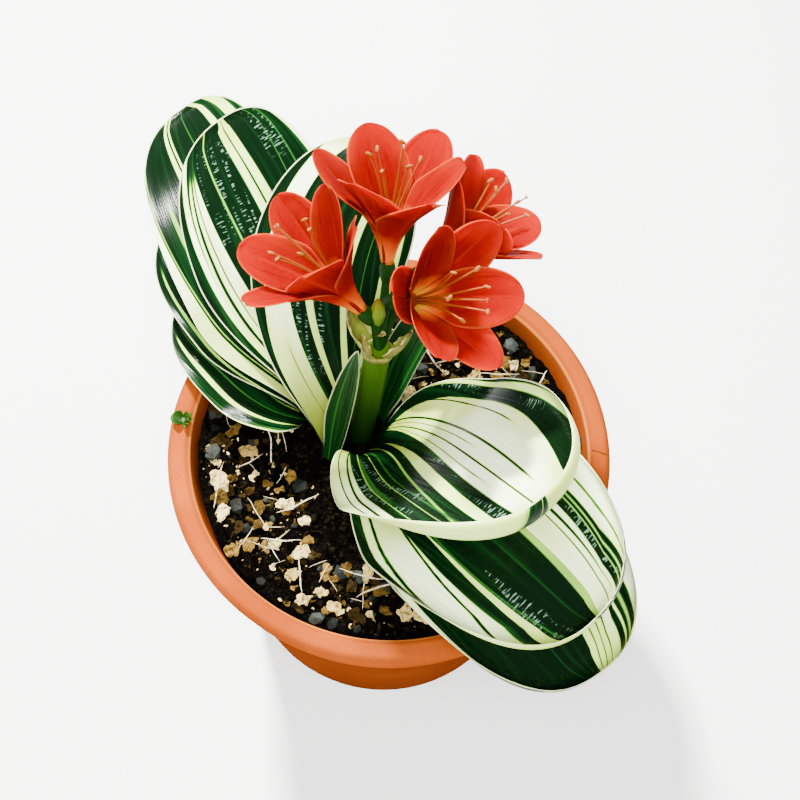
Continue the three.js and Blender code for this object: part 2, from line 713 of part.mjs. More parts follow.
// ---------------------------------------------------------------- flowers
// The slope of a tepal's midline away from the axis, at a share t of its length.
function tepalLine(flower, kind) {
  const steps = 24;
  const step = (TEPAL.length * flower.size) / steps;
  const line = [[TEPAL.root + kind.offset, 0]];
  for (let i = 0; i < steps; i++) {
    const t = (i + 0.5) / steps;
    const open = smooth(t / TEPAL.flared) ** 0.8;
    const lean = rad(mix(TEPAL.startLean, flower.open + kind.extra, open));
    const [r, h] = line[i];
    line.push([r + Math.sin(lean) * step, h + Math.cos(lean) * step]);
  }
  return (t) => {
    const x = Math.min(t, 1) * steps;
    const i = Math.min(Math.floor(x), steps - 1);
    return [mix(line[i][0], line[i + 1][0], x - i), mix(line[i][1], line[i + 1][1], x - i)];
  };
}

// Half the width of a tepal: down in the tube it leaves room for its two neighbours.
function tepalHalfWidth(flower, kind, t, distance) {
  const past = Math.max(0, (t - TEPAL.widest) / (1 - TEPAL.widest));
  const grown = mix(TEPAL.foot, kind.half * flower.size, smooth(t / TEPAL.widest));
  const free = grown * Math.sqrt(1 - past ** TEPAL.point);
  return Math.min(free, distance * (Math.PI / 3) * TEPAL.crowd);
}

function tepal(flower, frame, kind, turn) {
  const line = tepalLine(flower, kind);
  const points = [];
  const normals = [];
  const faces = [];
  const columns = TEPAL.columns;
  const spotAt = (t, across) => {
    const [r, h] = line(t);
    const girth = Math.max(r, TEPAL.root) * mix(1, TEPAL.flatten, smooth((t - 0.5) / 0.5));
    const angle = across / girth;
    const inward = girth * (1 - Math.cos(angle));
    const centre = flowerSpot(frame, h, r - inward, turn);
    const sideways = flowerSpot(frame, h, 1, turn + Math.PI / 2).sub(flowerSpot(frame, h, 0, 0));
    return centre.addScaledVector(sideways, girth * Math.sin(angle));
  };
  const put = (t, across) => {
    const e = 0.01;
    const place = spotAt(t, across);
    const along = spotAt(Math.min(t + e, 1), across).sub(spotAt(Math.max(t - e, 0), across));
    const beside = spotAt(t, across + e).sub(spotAt(t, across - e));
    points.push(place);
    normals.push(along.cross(beside).normalize());
    return points.length - 1;
  };
  let before;
  for (let i = 0; i < TEPAL.rows; i++) {
    const t = mix(1 - (1 - i / TEPAL.rows) ** ROW_GATHER, 1, TEPAL.from * (1 - i / TEPAL.rows));
    const half = tepalHalfWidth(flower, kind, t, Math.max(line(t)[0], TEPAL.root));
    const row = [];
    for (let j = 0; j <= columns; j++) row.push(put(t, half * ((2 * j) / columns - 1)));
    if (before)
      for (let j = 0; j < columns; j++) {
        faces.push([before[j], row[j], row[j + 1]], [before[j], row[j + 1], before[j + 1]]);
      }
    before = row;
  }
  const tip = put(1, 0);
  for (let j = 0; j < columns; j++) faces.push([before[j], tip, before[j + 1]]);
  return plate(points, normals, faces, TEPAL.thickness);
}

function flowerBody(flower) {
  const frame = flowerFrame(flower);
  const tube = spindle(frame.base, frame.axis, TUBE.profile, TUBE.sides);
  const pieces = [tube];
  for (let k = 0; k < 6; k++) {
    const kind = k % 2 ? TEPAL.outer : TEPAL.inner;
    pieces.push(tepal(flower, frame, kind, rad(flower.turn + 60 * k)));
  }
  return fuse(pieces);
}

function stamenBody(flower) {
  const frame = flowerFrame(flower);
  const tubeTop = TUBE.profile[TUBE.profile.length - 1][1];
  const hub = spindle(flowerSpot(frame, tubeTop + GAP, 0, 0), frame.axis, STAMEN.hubProfile, 6);
  const pieces = [hub];
  const filament = (length, root, spread, turn) => {
    const places = [];
    const steps = 2;
    for (let i = 0; i <= steps; i++) {
      const t = i / steps;
      places.push(flowerSpot(frame, STAMEN.hub + length * t, root + spread * t ** 1.6, turn));
    }
    const girths = places.map(() => STAMEN.radius);
    pieces.push(rod(places, girths, 3, 1, frame.side));
    return places[steps];
  };
  for (let k = 0; k < 6; k++) {
    const turn = rad(flower.turn + 60 * k + STAMEN.turn);
    const long = STAMEN.length + STAMEN.longer * (k % 2);
    const end = filament(long, STAMEN.root, STAMEN.spread, turn);
    const [radius, half] = STAMEN.anther;
    const lie = toward(flower.heading + 90 * k, 10);
    pieces.push(
      spindle(end.clone().addScaledVector(lie, -half), lie, [
        [0, 0],
        [radius, half * 0.6],
        [radius, half * 1.4],
        [0, half * 2],
      ], 4),
    );
  }
  filament(STAMEN.styleLength, 0, STAMEN.styleSpread, rad(flower.turn + STAMEN.styleTurn));
  return fuse(pieces);
}

// ---------------------------------------------------------------- assembly
add("pot", pot(), FINISH.terracotta);
add("soil", soil(), FINISH.soil);
for (const leaf of LEAVES) add(leaf.name, leafBody(leaf), FINISH.leaf);
add("scape", scapeBody(), FINISH.stalk);
add("spathe", spatheBody(), FINISH.spathe);
add("seedling", sprigBody(), FINISH.seedling);
for (const flower of FLOWERS) {
  add(flower.name, flowerBody(flower), FINISH.tepal);
  add(flower.name.replace("flower", "stamens"), stamenBody(flower), FINISH.stamen);
}

export default plant;
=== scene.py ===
"""A broad-leaved, white-striped clivia in flower, in a round terracotta pot.

Shapes are worked out in millimetres, with +Z up and the origin under the middle of the pot,
and become metres when a mesh is made. Angles are in degrees unless a name says otherwise.
"""

from __future__ import annotations

import logging
import math
from dataclasses import dataclass, field
from enum import Enum
from typing import Callable

import bpy
import numpy as np
from mathutils import Matrix, Vector


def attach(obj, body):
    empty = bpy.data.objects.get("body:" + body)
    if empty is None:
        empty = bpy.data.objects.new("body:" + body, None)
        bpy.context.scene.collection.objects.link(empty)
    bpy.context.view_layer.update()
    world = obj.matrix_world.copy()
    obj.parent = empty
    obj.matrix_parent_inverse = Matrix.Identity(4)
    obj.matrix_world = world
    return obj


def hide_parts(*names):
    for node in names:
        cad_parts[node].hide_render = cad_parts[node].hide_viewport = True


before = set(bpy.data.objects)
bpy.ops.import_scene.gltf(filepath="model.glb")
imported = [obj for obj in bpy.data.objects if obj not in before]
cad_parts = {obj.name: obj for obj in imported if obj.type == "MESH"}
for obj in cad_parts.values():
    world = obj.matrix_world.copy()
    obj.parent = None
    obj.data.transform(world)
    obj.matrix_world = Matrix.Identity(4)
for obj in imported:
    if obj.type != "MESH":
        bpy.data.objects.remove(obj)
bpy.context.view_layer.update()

LOG = logging.getLogger("clivia")
MM = 0.001
TURN = 2 * math.pi
UNDER = 60.0  # added to a sheet's attribute "mark" on its underside
Array = np.ndarray
Numbers = Array | float
Piece = bpy.types.Object
Finish = bpy.types.Material
Place = tuple[float, float, float]
Colour = tuple[float, float, float]
Stops = tuple[tuple[float, Colour], ...]
Step = tuple[float, float]


# ---------------- nodes
class Weaver:
    """A node tree under construction, and the one way that nodes are added to it."""

    def __init__(self, tree: bpy.types.NodeTree) -> None:
        """Starts on a tree."""
        self.tree = tree

    def node(
        self, kind: str, settings: dict | None = None, inputs: dict | None = None
    ) -> bpy.types.Node:
        """Adds a node.

        Args:
            kind: the node's type.
            settings: its properties, set first; "stops" are a ramp's (place, colour) pairs.
            inputs: values or links of its sockets, by name or number.

        Returns:
            The node.
        """
        made = self.tree.nodes.new(kind)
        for key, value in (settings or {}).items():
            if key == "stops":
                place_stops(made.color_ramp.elements, value)
            else:
                setattr(made, key, value)
        for key, value in (inputs or {}).items():
            value = value.socket if isinstance(value, Field) else value
            if isinstance(value, bpy.types.NodeSocket):
                self.tree.links.new(value, made.inputs[key])
            else:
                made.inputs[key].default_value = value
        return made

    def value(
        self, kind: str, settings: dict | None, inputs: dict | None, out: object = 0
    ) -> Field:
        """Adds a node and gives one of its outputs as a Field."""
        return Field(self, self.node(kind, settings, inputs).outputs[out])


def place_stops(elements: bpy.types.ColorRampElements, stops: Stops) -> None:
    """Sets a colour ramp's stops, which come in rising order.

    Args:
        elements: the ramp's elements.
        stops: its stops, in rising order.
    """
    while len(elements) > 1:
        elements.remove(elements[-1])
    for number, (place, colour) in enumerate(stops):
        element = elements.new(place) if number else elements[0]
        element.position = place
        element.color = (*colour, 1.0)


def math_method(operation: str, swapped: bool = False) -> Callable[..., Field]:
    """Makes a method of a Field that adds one Math node.

    Args:
        operation: what the node works out.
        swapped: whether the other value comes first, as in 1 - mask.

    Returns:
        The method.
    """

    def method(self: Field, *others: object) -> Field:
        """Adds the node on this Field and any other values.

        Args:
            others: the other values.

        Returns:
            The node's output.
        """
        values = (*others, self) if swapped else (self, *others)
        inputs = dict(enumerate(values))
        return self.weaver.value("ShaderNodeMath", {"operation": operation}, inputs)

    return method


class Field:
    """A number that varies over a surface; Python operators add its Math nodes."""

    __add__ = __radd__ = math_method("ADD")
    __sub__ = math_method("SUBTRACT")
    __rsub__ = math_method("SUBTRACT", swapped=True)
    __mul__ = __rmul__ = math_method("MULTIPLY")
    __truediv__ = math_method("DIVIDE")
    __pow__ = math_method("POWER")
    __abs__ = math_method("ABSOLUTE")
    at_least = math_method("MAXIMUM")
    at_most = math_method("MINIMUM")
    times_plus = math_method("MULTIPLY_ADD")
    sine = math_method("SINE")

    def __init__(self, weaver: Weaver, socket: bpy.types.NodeSocket) -> None:
        """Wraps an output socket."""
        self.weaver, self.socket = weaver, socket

    def rise(self, low: float, high: float) -> Field:
        """A smooth step from 0 at low to 1 at high.

        Args:
            low: where it starts.
            high: where it ends.

        Returns:
            A number from 0 to 1.
        """
        settings = {"interpolation_type": "SMOOTHSTEP"}
        inputs = {"Value": self, "From Min": low, "From Max": high}
        return self.weaver.value("ShaderNodeMapRange", settings, inputs)

    def fall(self, low: float, high: float) -> Field:
        """A smooth step from 1 at low to 0 at high."""
        return 1 - self.rise(low, high)

    def within(self, low: float, high: float, soft: float) -> Field:
        """1 between low and high, 0 elsewhere, with steps of twice soft at both ends."""
        return self.rise(low - soft, low + soft) * self.fall(high - soft, high + soft)


class Surface(Weaver):
    """A material under construction."""

    def __init__(self, name: str) -> None:
        """Starts an empty material.

        Args:
            name: the material's name.
        """
        self.material = bpy.data.materials.new(name)
        self.material.use_nodes = True
        super().__init__(self.material.node_tree)
        self.tree.nodes.clear()

    def place(self) -> bpy.types.NodeSocket:
        """The point on the piece, in metres."""
        return self.node("ShaderNodeTexCoord").outputs["Object"]

    def axes(self, vector: object) -> tuple[Field, Field, Field]:
        """The three numbers of a vector."""
        split = self.node("ShaderNodeSeparateXYZ", None, {0: vector})
        return tuple(Field(self, output) for output in split.outputs)

    def attribute(self, name: str) -> Field:
        """A number stored on the mesh."""
        return self.value("ShaderNodeAttribute", {"attribute_name": name}, None, "Fac")

    def sides(self) -> tuple[Field, Field]:
        """The attribute "mark" of a sheet: 1 on its underside, and the number that it holds.

        Returns:
            1 on the underside and 0 above, and the number.
        """
        mark = self.attribute("mark")
        under = mark.rise(UNDER / 2, UNDER / 2 + 1)
        return under, mark - under * UNDER

    def flow(self) -> tuple[Field, Field]:
        """The piece's own UV map: across and along."""
        return self.axes(self.node("ShaderNodeUVMap", {"uv_map": "Flow"}).outputs[0])[:2]

    def noise(self, vector: object, scale: float, detail: float = 2.0, rough: float = 0.5) -> Field:
        """A noise from 0 to 1 over a vector."""
        inputs = {"Vector": vector, "Scale": scale, "Detail": detail, "Roughness": rough}
        return self.value("ShaderNodeTexNoise", None, inputs)

    def strokes(
        self, x: object, y: object, z: object = 0.0, detail: float = 2.0, rough: float = 0.5
    ) -> Field:
        """A noise over three numbers, each with a scale of its own in it, which draws it out."""
        vector = self.value("ShaderNodeCombineXYZ", None, {0: x, 1: y, 2: z})
        return self.noise(vector, 1.0, detail, rough)

    def ramp(self, factor: object, stops: Stops) -> Field:
        """Colours along a number from 0 to 1."""
        return self.value("ShaderNodeValToRGB", {"stops": stops}, {0: factor})

    def mix(self, factor: object, first: object, second: object) -> Field:
        """Lays the second colour over the first by a factor; each is a socket or a Colour.

        Args:
            factor: how much of the second shows.
            first: the colour beneath, a socket or a Colour.
            second: the colour above.

        Returns:
            The colour.
        """
        first, second = ((*c, 1.0) if isinstance(c, tuple) else c for c in (first, second))
        inputs = {0: factor, 6: first, 7: second}
        return self.value("ShaderNodeMix", {"data_type": "RGBA"}, inputs, 2)

    def bump(self, height: object, depth: float, strength: float) -> Field:
        """A Bump node's normal, from a relief of 0 to 1 and its depth in metres."""
        inputs = {"Height": height, "Distance": depth, "Strength": strength}
        return self.value("ShaderNodeBump", None, inputs)


@dataclass(frozen=True)
class Skin:
    """A finish; each kind says what feeds its shader."""

    name: str

    def sockets(self, s: Surface) -> dict[str, object]:
        """What feeds the shader's sockets, by name.

        Args:
            s: the material.

        Returns:
            What feeds each socket, by its name.
        """
        raise NotImplementedError

    def material(self) -> Finish:
        """Builds the material, with one principled shader.

        Returns:
            The material.
        """
        s = Surface(self.name)
        shader = s.node("ShaderNodeBsdfPrincipled", None, self.sockets(s))
        s.node("ShaderNodeOutputMaterial", None, {0: shader.outputs[0]})
        return s.material


# ---------------- numbers
def smooth(x: Numbers) -> Numbers:
    """A smooth step from 0 at 0 to 1 at 1."""
    x = np.clip(x, 0, 1)
    return x * x * (3 - 2 * x)


def blend(a: Numbers, b: Numbers, share: Numbers) -> Numbers:
    """From a to b by a share."""
    return a + (b - a) * share


def unit(vectors: Array) -> Array:
    """Vectors brought to length 1."""
    return vectors / np.linalg.norm(vectors, axis=-1, keepdims=True)


def toward(heading: Numbers, slope: Numbers) -> Array:
    """Directions from compass headings and slopes."""
    h, s = np.radians(heading), np.radians(slope)
    return np.stack([np.cos(s) * np.cos(h), np.cos(s) * np.sin(h), np.sin(s) + 0 * h], -1)


def circle(sides: int) -> Array:
    """Even turns round a circle, in radians."""
    return TURN * np.arange(sides) / sides


def pairs(across: Array, along: Array) -> Array:
    """The two numbers of the UV map, over a grid."""
    return np.stack(np.broadcast_arrays(across, along), -1)


def along_line(places: Array, count: int) -> tuple[Array, Array]:
    """A smooth curve through places.

    Args:
        places: the points that it passes.
        count: how many points of it are wanted.

    Returns:
        The points on it, and its directions there.
    """
    ends = np.vstack([2 * places[0] - places[1], places, 2 * places[-1] - places[-2]])
    x = np.linspace(0, 1, count) * (len(places) - 1)
    i = np.minimum(x.astype(int), len(places) - 2)
    t = (x - i)[:, None]
    p0, p1, p2, p3 = (ends[i + k] for k in range(4))
    a, b, c = 2 * p1, p2 - p0, 2 * p0 - 5 * p1 + 4 * p2 - p3
    d = 3 * p1 - p0 - 3 * p2 + p3
    point = 0.5 * (a + b * t + c * t**2 + d * t**3)
    return point, unit(0.5 * (b + 2 * c * t + 3 * d * t**2))


# ---------------- meshes
def quads(index: Array) -> Array:
    """The faces of a grid of point numbers."""
    corners = [index[:-1, :-1], index[:-1, 1:], index[1:, 1:], index[1:, :-1]]
    return np.stack(corners, -1).reshape(-1, 4)


@dataclass
class Shape:
    """A mesh in the making: points, faces, and numbers stored at its points."""

    points: list[Array] = field(default_factory=list)
    faces: list[Array] = field(default_factory=list)
    flows: list[Array] = field(default_factory=list)
    marks: list[Array] = field(default_factory=list)
    dresses: list[Array] = field(default_factory=list)
    count: int = 0

    def add(
        self, points: Array, faces: Array, flow: Array, mark: Numbers = 0.0, dress: int = 0
    ) -> None:
        """Adds points and faces.

        Args:
            points: places in millimetres.
            faces: corners, numbered within these points; a triangle repeats its last corner.
            flow: across and along, for the UV map.
            mark: a number for each point, kept as the attribute "mark".
            dress: the number of the material.
        """
        self.points.append(points)
        self.faces.append(faces + self.count)
        self.flows.append(flow)
        self.marks.append(np.broadcast_to(np.asarray(mark, float), (len(points),)))
        self.dresses.append(np.full(len(faces), dress))
        self.count += len(points)

    def tube(self, points: Array, along: Numbers = 0.0, mark: float = 0.0, dress: int = 0) -> None:
        """Adds faces over rows of points, the last column of which meets the first.

        Args:
            points: rows x columns x 3.
            along: the UV map's second number in each row.
            mark: the attribute on it.
            dress: the number of the material.
        """
        rows, columns = points.shape[:2]
        index = np.arange(rows * columns).reshape(rows, columns)
        faces = quads(np.hstack([index, index[:, :1]]))
        flow = pairs(circle(columns)[None] / TURN, np.broadcast_to(along, rows)[:, None])
        self.add(points.reshape(-1, 3), faces, flow.reshape(-1, 2), mark, dress)

    def cap(
        self, ring: Array, middle: Array, turned: bool = False, along: float = 0.0,
        mark: float = 0.0, dress: int = 0,
    ) -> None:
        """Closes a ring of points with a fan of triangles.

        Args:
            ring: the points.
            middle: where the triangles meet.
            turned: whether their order is turned round, so that they face the other way.
            along: the UV map's second number on it.
            mark: the attribute on it.
            dress: the number of the material.
        """
        sides = len(ring)
        here, hub = np.arange(sides), np.full(sides, sides)
        pair = [here, (here + 1) % sides]
        fan = np.stack([*(pair[::-1] if turned else pair), hub, hub], -1)
        self.add(np.vstack([ring, middle]), fan, np.zeros((sides + 1, 2)) + [0, along], mark, dress)

    def make(
        self, name: str, materials: list[Finish], node: str
    ) -> Piece:
        """Turns the shape into an object that stands for a CAD node.

        Args:
            name: the piece's name.
            materials: one for each dress.
            node: the CAD node that it replaces.

        Returns:
            The object.
        """
        points = np.vstack(self.points) * MM
        corners = [tuple(dict.fromkeys(face)) for face in np.vstack(self.faces).tolist()]
        mesh = bpy.data.meshes.new(name)
        mesh.from_pydata(points.tolist(), [], corners)
        flows, marks = np.vstack(self.flows), np.concatenate(self.marks)
        loops = np.empty(len(mesh.loops), np.int32)
        mesh.loops.foreach_get("vertex_index", loops)
        uv = mesh.uv_layers.new(name="Flow").data
        uv.foreach_set("uv", flows[loops].astype(np.float32).ravel())
        stored = mesh.attributes.new("mark", "FLOAT", "POINT").data
        stored.foreach_set("value", marks.astype(np.float32))
        dresses = np.concatenate(self.dresses).astype(np.int32)
        mesh.polygons.foreach_set("material_index", dresses)
        mesh.polygons.foreach_set("use_smooth", np.ones(len(mesh.polygons), bool))
        for material in materials:
            mesh.materials.append(material)
        mesh.update()
        return settle(new_object(name, mesh), node)


def new_object(name: str, data: bpy.types.ID) -> Piece:
    """Puts a mesh, a light or a lens into the scene as an object at the origin.

    Args:
        name: its name.
        data: the mesh, light or lens.

    Returns:
        The object.
    """
    made = bpy.data.objects.new(name, data)
    bpy.context.scene.collection.objects.link(made)
    return made


def settle(piece: Piece, node: str) -> Piece:
    """Rides a piece on the plant and hides the CAD node that it stands for.

    Args:
        piece: the finished object.
        node: the CAD node that it replaces, or "" for none.

    Returns:
        The piece.
    """
    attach(piece, "root")
    if node:
        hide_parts(node)
    LOG.info("%s: %d faces", piece.name, len(piece.data.polygons))
    return piece


def add_sheet(
    shape: Shape, points: Array, normals: Array, faces: Array, half: Array, flow: Array, mark: Array
) -> None:
    """Adds a closed body round an open sheet, with a wall along every open edge.

    Args:
        shape: where the body goes.
        points: places of the sheet's middle.
        normals: its upward directions.
        faces: its faces, a triangle repeating its last corner.
        half: half of its thickness at each point.
        flow: across and along at each point.
        mark: the attribute at each point; the underside gets it plus UNDER.
    """
    count = len(points)
    edges: dict[tuple[int, int], None] = {}
    for face in faces.tolist():
        ring = list(dict.fromkeys(face))
        for a, b in zip(ring, ring[1:] + ring[:1]):
            if (b, a) in edges:
                del edges[(b, a)]
            else:
                edges[(a, b)] = None
    wall = np.array([(b, a, count + a, count + b) for a, b in edges])
    reach = normals * half[:, None]
    body = np.vstack([faces, faces[:, ::-1] + count, wall])
    marks = np.concatenate([mark, mark + UNDER])
    shape.add(np.vstack([points + reach, points - reach]), body, np.vstack([flow, flow]), marks)


def lie_of(points: Array) -> Array:
    """The upward directions of a grid of places, rows along it and columns across it."""
    return unit(np.cross(np.gradient(points, axis=0), np.gradient(points, axis=1)))


def add_panel(
    shape: Shape, points: Array, normals: Array, half: Numbers, place: tuple[Array, Array],
    mark: Numbers,
) -> None:
    """Adds a closed body round a grid of places.

    Args:
        shape: where the body goes.
        points: rows along it x columns across it x 3.
        normals: its upward directions.
        half: half of its thickness.
        place: across it, from -1 to 1, and along it, from 0 to 1.
        mark: the attribute on it; the underside gets it plus UNDER.
    """
    size = points.shape[:2]
    faces = quads(np.arange(size[0] * size[1]).reshape(size))[:, [0, 3, 2, 1]]
    flow = pairs((place[0] + 1) / 2, place[1]).reshape(-1, 2)
    half, mark = (np.broadcast_to(number, size).ravel() for number in (half, mark))
    add_sheet(shape, points.reshape(-1, 3), normals.reshape(-1, 3), faces, half, flow, mark)


def add_rod(
    shape: Shape, places: Array, ahead: Array, radii: Array, sides: int, flat: float = 1.0,
    mark: float = 0.0, dress: int = 0, ribs: tuple[int, float] = (0, 0.0),
) -> None:
    """Adds a closed rod round a line.

    Args:
        shape: where the rod goes.
        places: points along it.
        ahead: its direction, or its directions there.
        radii: its radius at each point.
        sides: how many sides it has.
        flat: its depth as a share of its width, the width being along X.
        mark: the attribute on it.
        dress: the number of the material.
        ribs: how many ribs run along it, and their height as a share of the radius.
    """
    ahead = np.broadcast_to(ahead, places.shape)
    guide = np.array([1.0, 0, 0] if abs(ahead[0][0]) < 0.9 else [0, 1.0, 0])
    deep = unit(np.cross(ahead, guide))[:, None]
    wide = np.cross(deep[:, 0], ahead)[:, None]
    angle = circle(sides)[None, :, None]
    swell = 1 + ribs[1] * np.cos(ribs[0] * angle)
    ring = wide * np.cos(angle) + deep * (flat * np.sin(angle))
    points = places[:, None] + radii[:, None, None] * swell * ring
    shape.tube(points, np.linspace(0, 1, len(places)), mark, dress)
    shape.cap(points[0], places[0], True, 0.0, mark, dress)
    shape.cap(points[-1], places[-1], False, 1.0, mark, dress)


def lathe(profile: Array, ring: Array) -> Array:
    """Rows of places: a profile of radii and heights, carried round a ring of directions."""
    heights = np.repeat(profile[:, None, 1:], len(ring), 1)
    return np.concatenate([profile[:, None, :1] * ring[None], heights], -1)


# ---------------- plan of the plant
SOIL_TOP = 180.0
NECK = np.array([-22.0, 9.0])
FAN = 136.0
SINK = 11.0
GAP = 0.3
UMBEL = np.array([-8.0, 10.5, 286.0])
SCAPE_FOOT = np.array([-18.0, 9.0, SOIL_TOP - SINK])
SCAPE_HALF = (6.6, 4.7)


def neck_place(along: float, beside: float) -> Array:
    """A place at the neck, by its distance along the fan line and beside it."""
    flat = np.array([*NECK, SOIL_TOP])
    return flat + toward(FAN, 0.0) * along + toward(FAN + 90, 0.0) * beside


# ---------------- leaves
class Tone(Enum):
    """How pale a stripe of a leaf is."""

    DARK = 0.0
    DEEP = 0.16
    GREEN = 0.34
    LIME = 0.58
    CREAM = 0.82
    WHITE = 1.0


DARK, DEEP, GREEN, LIME, CREAM, WHITE = Tone
STATIONS = (0.2, 0.55, 0.9)  # the shares of a leaf's length at which its stripes are laid out
WHOLE = (-1.0, 2.0)  # the span of a stripe with no end


@dataclass(frozen=True)
class Stripe:
    """A long stripe: its two edges at the three stations, and the share of the length it runs."""

    tone: Tone
    foot: Step
    middle: Step
    tip: Step
    span: Step = WHOLE

    SOFT = 0.022  # over how much of the leaf's half width an edge fades

    def over(self, pale: object, place: tuple[Field, Field], bases: tuple[Field, Field]) -> Field:
        """Lays the stripe over what lies beneath.

        Args:
            pale: how pale the leaf is so far.
            place: across the leaf, from -1 to 1, and along it.
            bases: the two curves that carry an edge from station to station.

        Returns:
            How pale the leaf is with the stripe.
        """
        across, along = place
        ends = (self.foot, self.middle, self.tip)
        centres = [(a + b) / 2 for a, b in ends]
        halves = [(b - a) / 2 for a, b in ends]
        centre, half = (
            bases[0].times_plus(line[1] - line[0], bases[1].times_plus(line[2] - line[0], line[0]))
            for line in (centres, halves)
        )
        soft = min(self.SOFT, 1.6 * min(halves)) / 2
        mask = (half - abs(across - centre)).rise(-soft, soft)
        start, end = self.span
        if start > 0:
            mask = mask * along.rise(start - 0.03, start + 0.03)
        if end < 1:
            mask = mask * along.fall(end - 0.05, end + 0.05)
        if isinstance(pale, Field):
            return (self.tone.value - pale).times_plus(mask, pale)
        return mask * self.tone.value


def thin(tone: Tone, *middles: float, width: float = 0.014, span: Step = WHOLE) -> Stripe:
    """A thin line, by its place across the leaf at the three stations."""
    return Stripe(tone, *((middle - width / 2, middle + width / 2) for middle in middles), span)


@dataclass(frozen=True)
class Patch:
    """A part of a leaf where a highlight on small cross ridges is painted into its colour."""

    across: Step
    along: Step


@dataclass(frozen=True)
class LeafSkin(Skin):
    """The glossy, striped skin of one leaf."""

    stripes: tuple[Stripe, ...]  # on dark green, each over the ones before it
    patches: tuple[Patch, ...] = ()
    seed: float = 0.0
    drift: Step = (0.0, 0.0)  # how far the fine streaks move across by the second and third station
    # the olive on the pale stripes near the foot is partly their own yellow-green and partly
    # painted shade
    olive: Step = (0.1, 0.34)  # the pale stripes turn from olive to white between these shares
    lip: Step | None = None  # on a margin turned over: where its pale edge has dark green inside it
    margin: float = 0.75  # how clearly the margin is drawn in cream

    TONES = (
        (0.0, (0.0006, 0.0055, 0.0013)), (0.16, (0.0022, 0.022, 0.0038)),
        (0.34, (0.012, 0.075, 0.008)), (0.58, (0.16, 0.33, 0.035)),
        (0.82, (0.58, 0.78, 0.19)), (1.0, (0.87, 0.97, 0.64)),
    )
    # partly the stripes' own olive, partly painted shade near the foot
    OLIVE_AND_SHADE = (0.2, 0.25, 0.006)
    BUFF = (0.44, 0.58, 0.085)
    # painted highlight: the light green of the dashes where light would catch the cross ridges
    RIDGE_HIGHLIGHT = (0.24, 0.46, 0.3)
    MARGIN = (0.72, 0.78, 0.42)
    TURNED = 0.84  # how pale the underside of a margin turned over is

    def streaks(
        self, s: Surface, lane: Field, along: Field, wide: float, long: float, detail: float = 1.0
    ) -> Field:
        """A noise of the leaf's own, with one scale across it and one along it."""
        return s.strokes(lane * wide + self.seed, along * long, detail=detail)

    def paleness(self, s: Surface, across: Field, along: Field) -> Field:
        """How pale the leaf is, from its stripes and the fine streaks in them.

        Args:
            s: the material.
            across: from -1 at the left margin to 1 at the right.
            along: from 0 at the foot to 1 at the tip.

        Returns:
            A number from 0, darkest green, to 1, white.
        """
        low, middle, high = STATIONS
        bases = (
            (along - low) * (along - high) / ((middle - low) * (middle - high)),
            (along - low) * (along - middle) / ((high - low) * (high - middle)),
        )
        lane = across - bases[0] * self.drift[0] - bases[1] * self.drift[1]
        streak = s.strokes(lane * 48 + self.seed, along * 1.2, rough=0.6) - 0.5
        sway = self.streaks(s, lane, along, 3, 2.6, 0.0) - 0.5
        bent = across + sway * 0.05 + streak * 0.012
        pale = 0.0
        for stripe in self.stripes:
            pale = stripe.over(pale, (bent, along), bases)
        hair = self.streaks(s, lane, along, 100, 0.9).rise(0.6, 0.72)
        crowd = self.streaks(s, lane, along, 7, 2.4).rise(0.46, 0.62)
        glow = self.streaks(s, lane, along, 9, 1.3).rise(0.5, 0.78)
        pale = (0.2 * glow).times_plus(pale.fall(0.05, 0.3), pale)
        pale = abs(pale - hair * crowd * 0.2)
        return (pale + streak * (0.05 + 0.14 * pale)).at_least(0.0).at_most(1.0)

    def ridges(self, s: Surface, across: Field, along: Field) -> Field:
        """Where a highlight on the small cross ridges is painted, from 0 to 1.

        Args:
            s: the material.
            across: from -1 at the left margin to 1 at the right.
            along: from 0 at the foot to 1 at the tip.

        Returns:
            A number from 0 to 1.
        """
        rows = self.streaks(s, across, along, 9, 190).rise(0.56, 0.64)
        lanes = self.streaks(s, across, along, 16, 4, 0.0).rise(0.5, 0.6)
        where = 0.0
        for patch in self.patches:
            where = across.within(*patch.across, 0.02) * along.within(*patch.along, 0.04) + where
        return rows * lanes * where

    def sockets(self, s: Surface) -> dict[str, object]:
        """What feeds the shader, which reads the UV map and the attribute "mark".

        Args:
            s: the material.

        Returns:
            What feeds each socket, by its name.
        """
        flow_across, along = s.flow()
        across = flow_across * 2 - 1
        under, rim = s.sides()
        pale = self.paleness(s, across, along)
        if self.lip:
            lines = self.streaks(s, across, along, 32, 1.5).rise(0.58, 0.66)
            turned = self.TURNED - across.within(*self.lip, 0.05) * (0.78 - 0.55 * lines)
            pale = (turned - pale).times_plus(under * rim.fall(17.0, 22.0), pale)
        light = pale.rise(0.4, 0.7)
        cloud = self.streaks(s, across, along, 1.7, 2.3).rise(0.45, 0.65)
        buff = (cloud * 0.8 + along.fall(0.25, 0.65) + along.rise(0.84, 0.98) * 0.5).at_most(1.0)
        tone = s.mix(light * buff * 0.85, s.ramp(pale, self.TONES), self.BUFF)
        # olive near the foot: partly the pale stripes' own tint, partly painted shade
        tone = s.mix(light * along.fall(*self.olive) * 0.85, tone, self.OLIVE_AND_SHADE)
        if self.patches:
            # painted highlight: light-green dashes over the dark bands, where light would catch the
            # ridges
            shine = self.ridges(s, across, along) * pale.fall(0.1, 0.4)
            tone = s.mix(shine * 0.45, tone, self.RIDGE_HIGHLIGHT)
        tone = s.mix(under * 0.3 * light, tone, self.BUFF)
        edge = rim.fall(0.25, 0.75) * along.rise(0.1, 0.25)
        tone = s.mix(edge * self.margin, tone, self.MARGIN)
        ribs = self.streaks(s, across, along, 85, 1.4)
        grain = s.strokes(across * 60, along * 150)
        return {
            "Base Color": tone,
            "Roughness": 0.13 + 0.1 * grain + under * 0.2,
            "Normal": s.bump(ribs * 0.94 + grain * 0.06, 0.0005, 0.4),
            "Specular IOR Level": 0.085,
        }


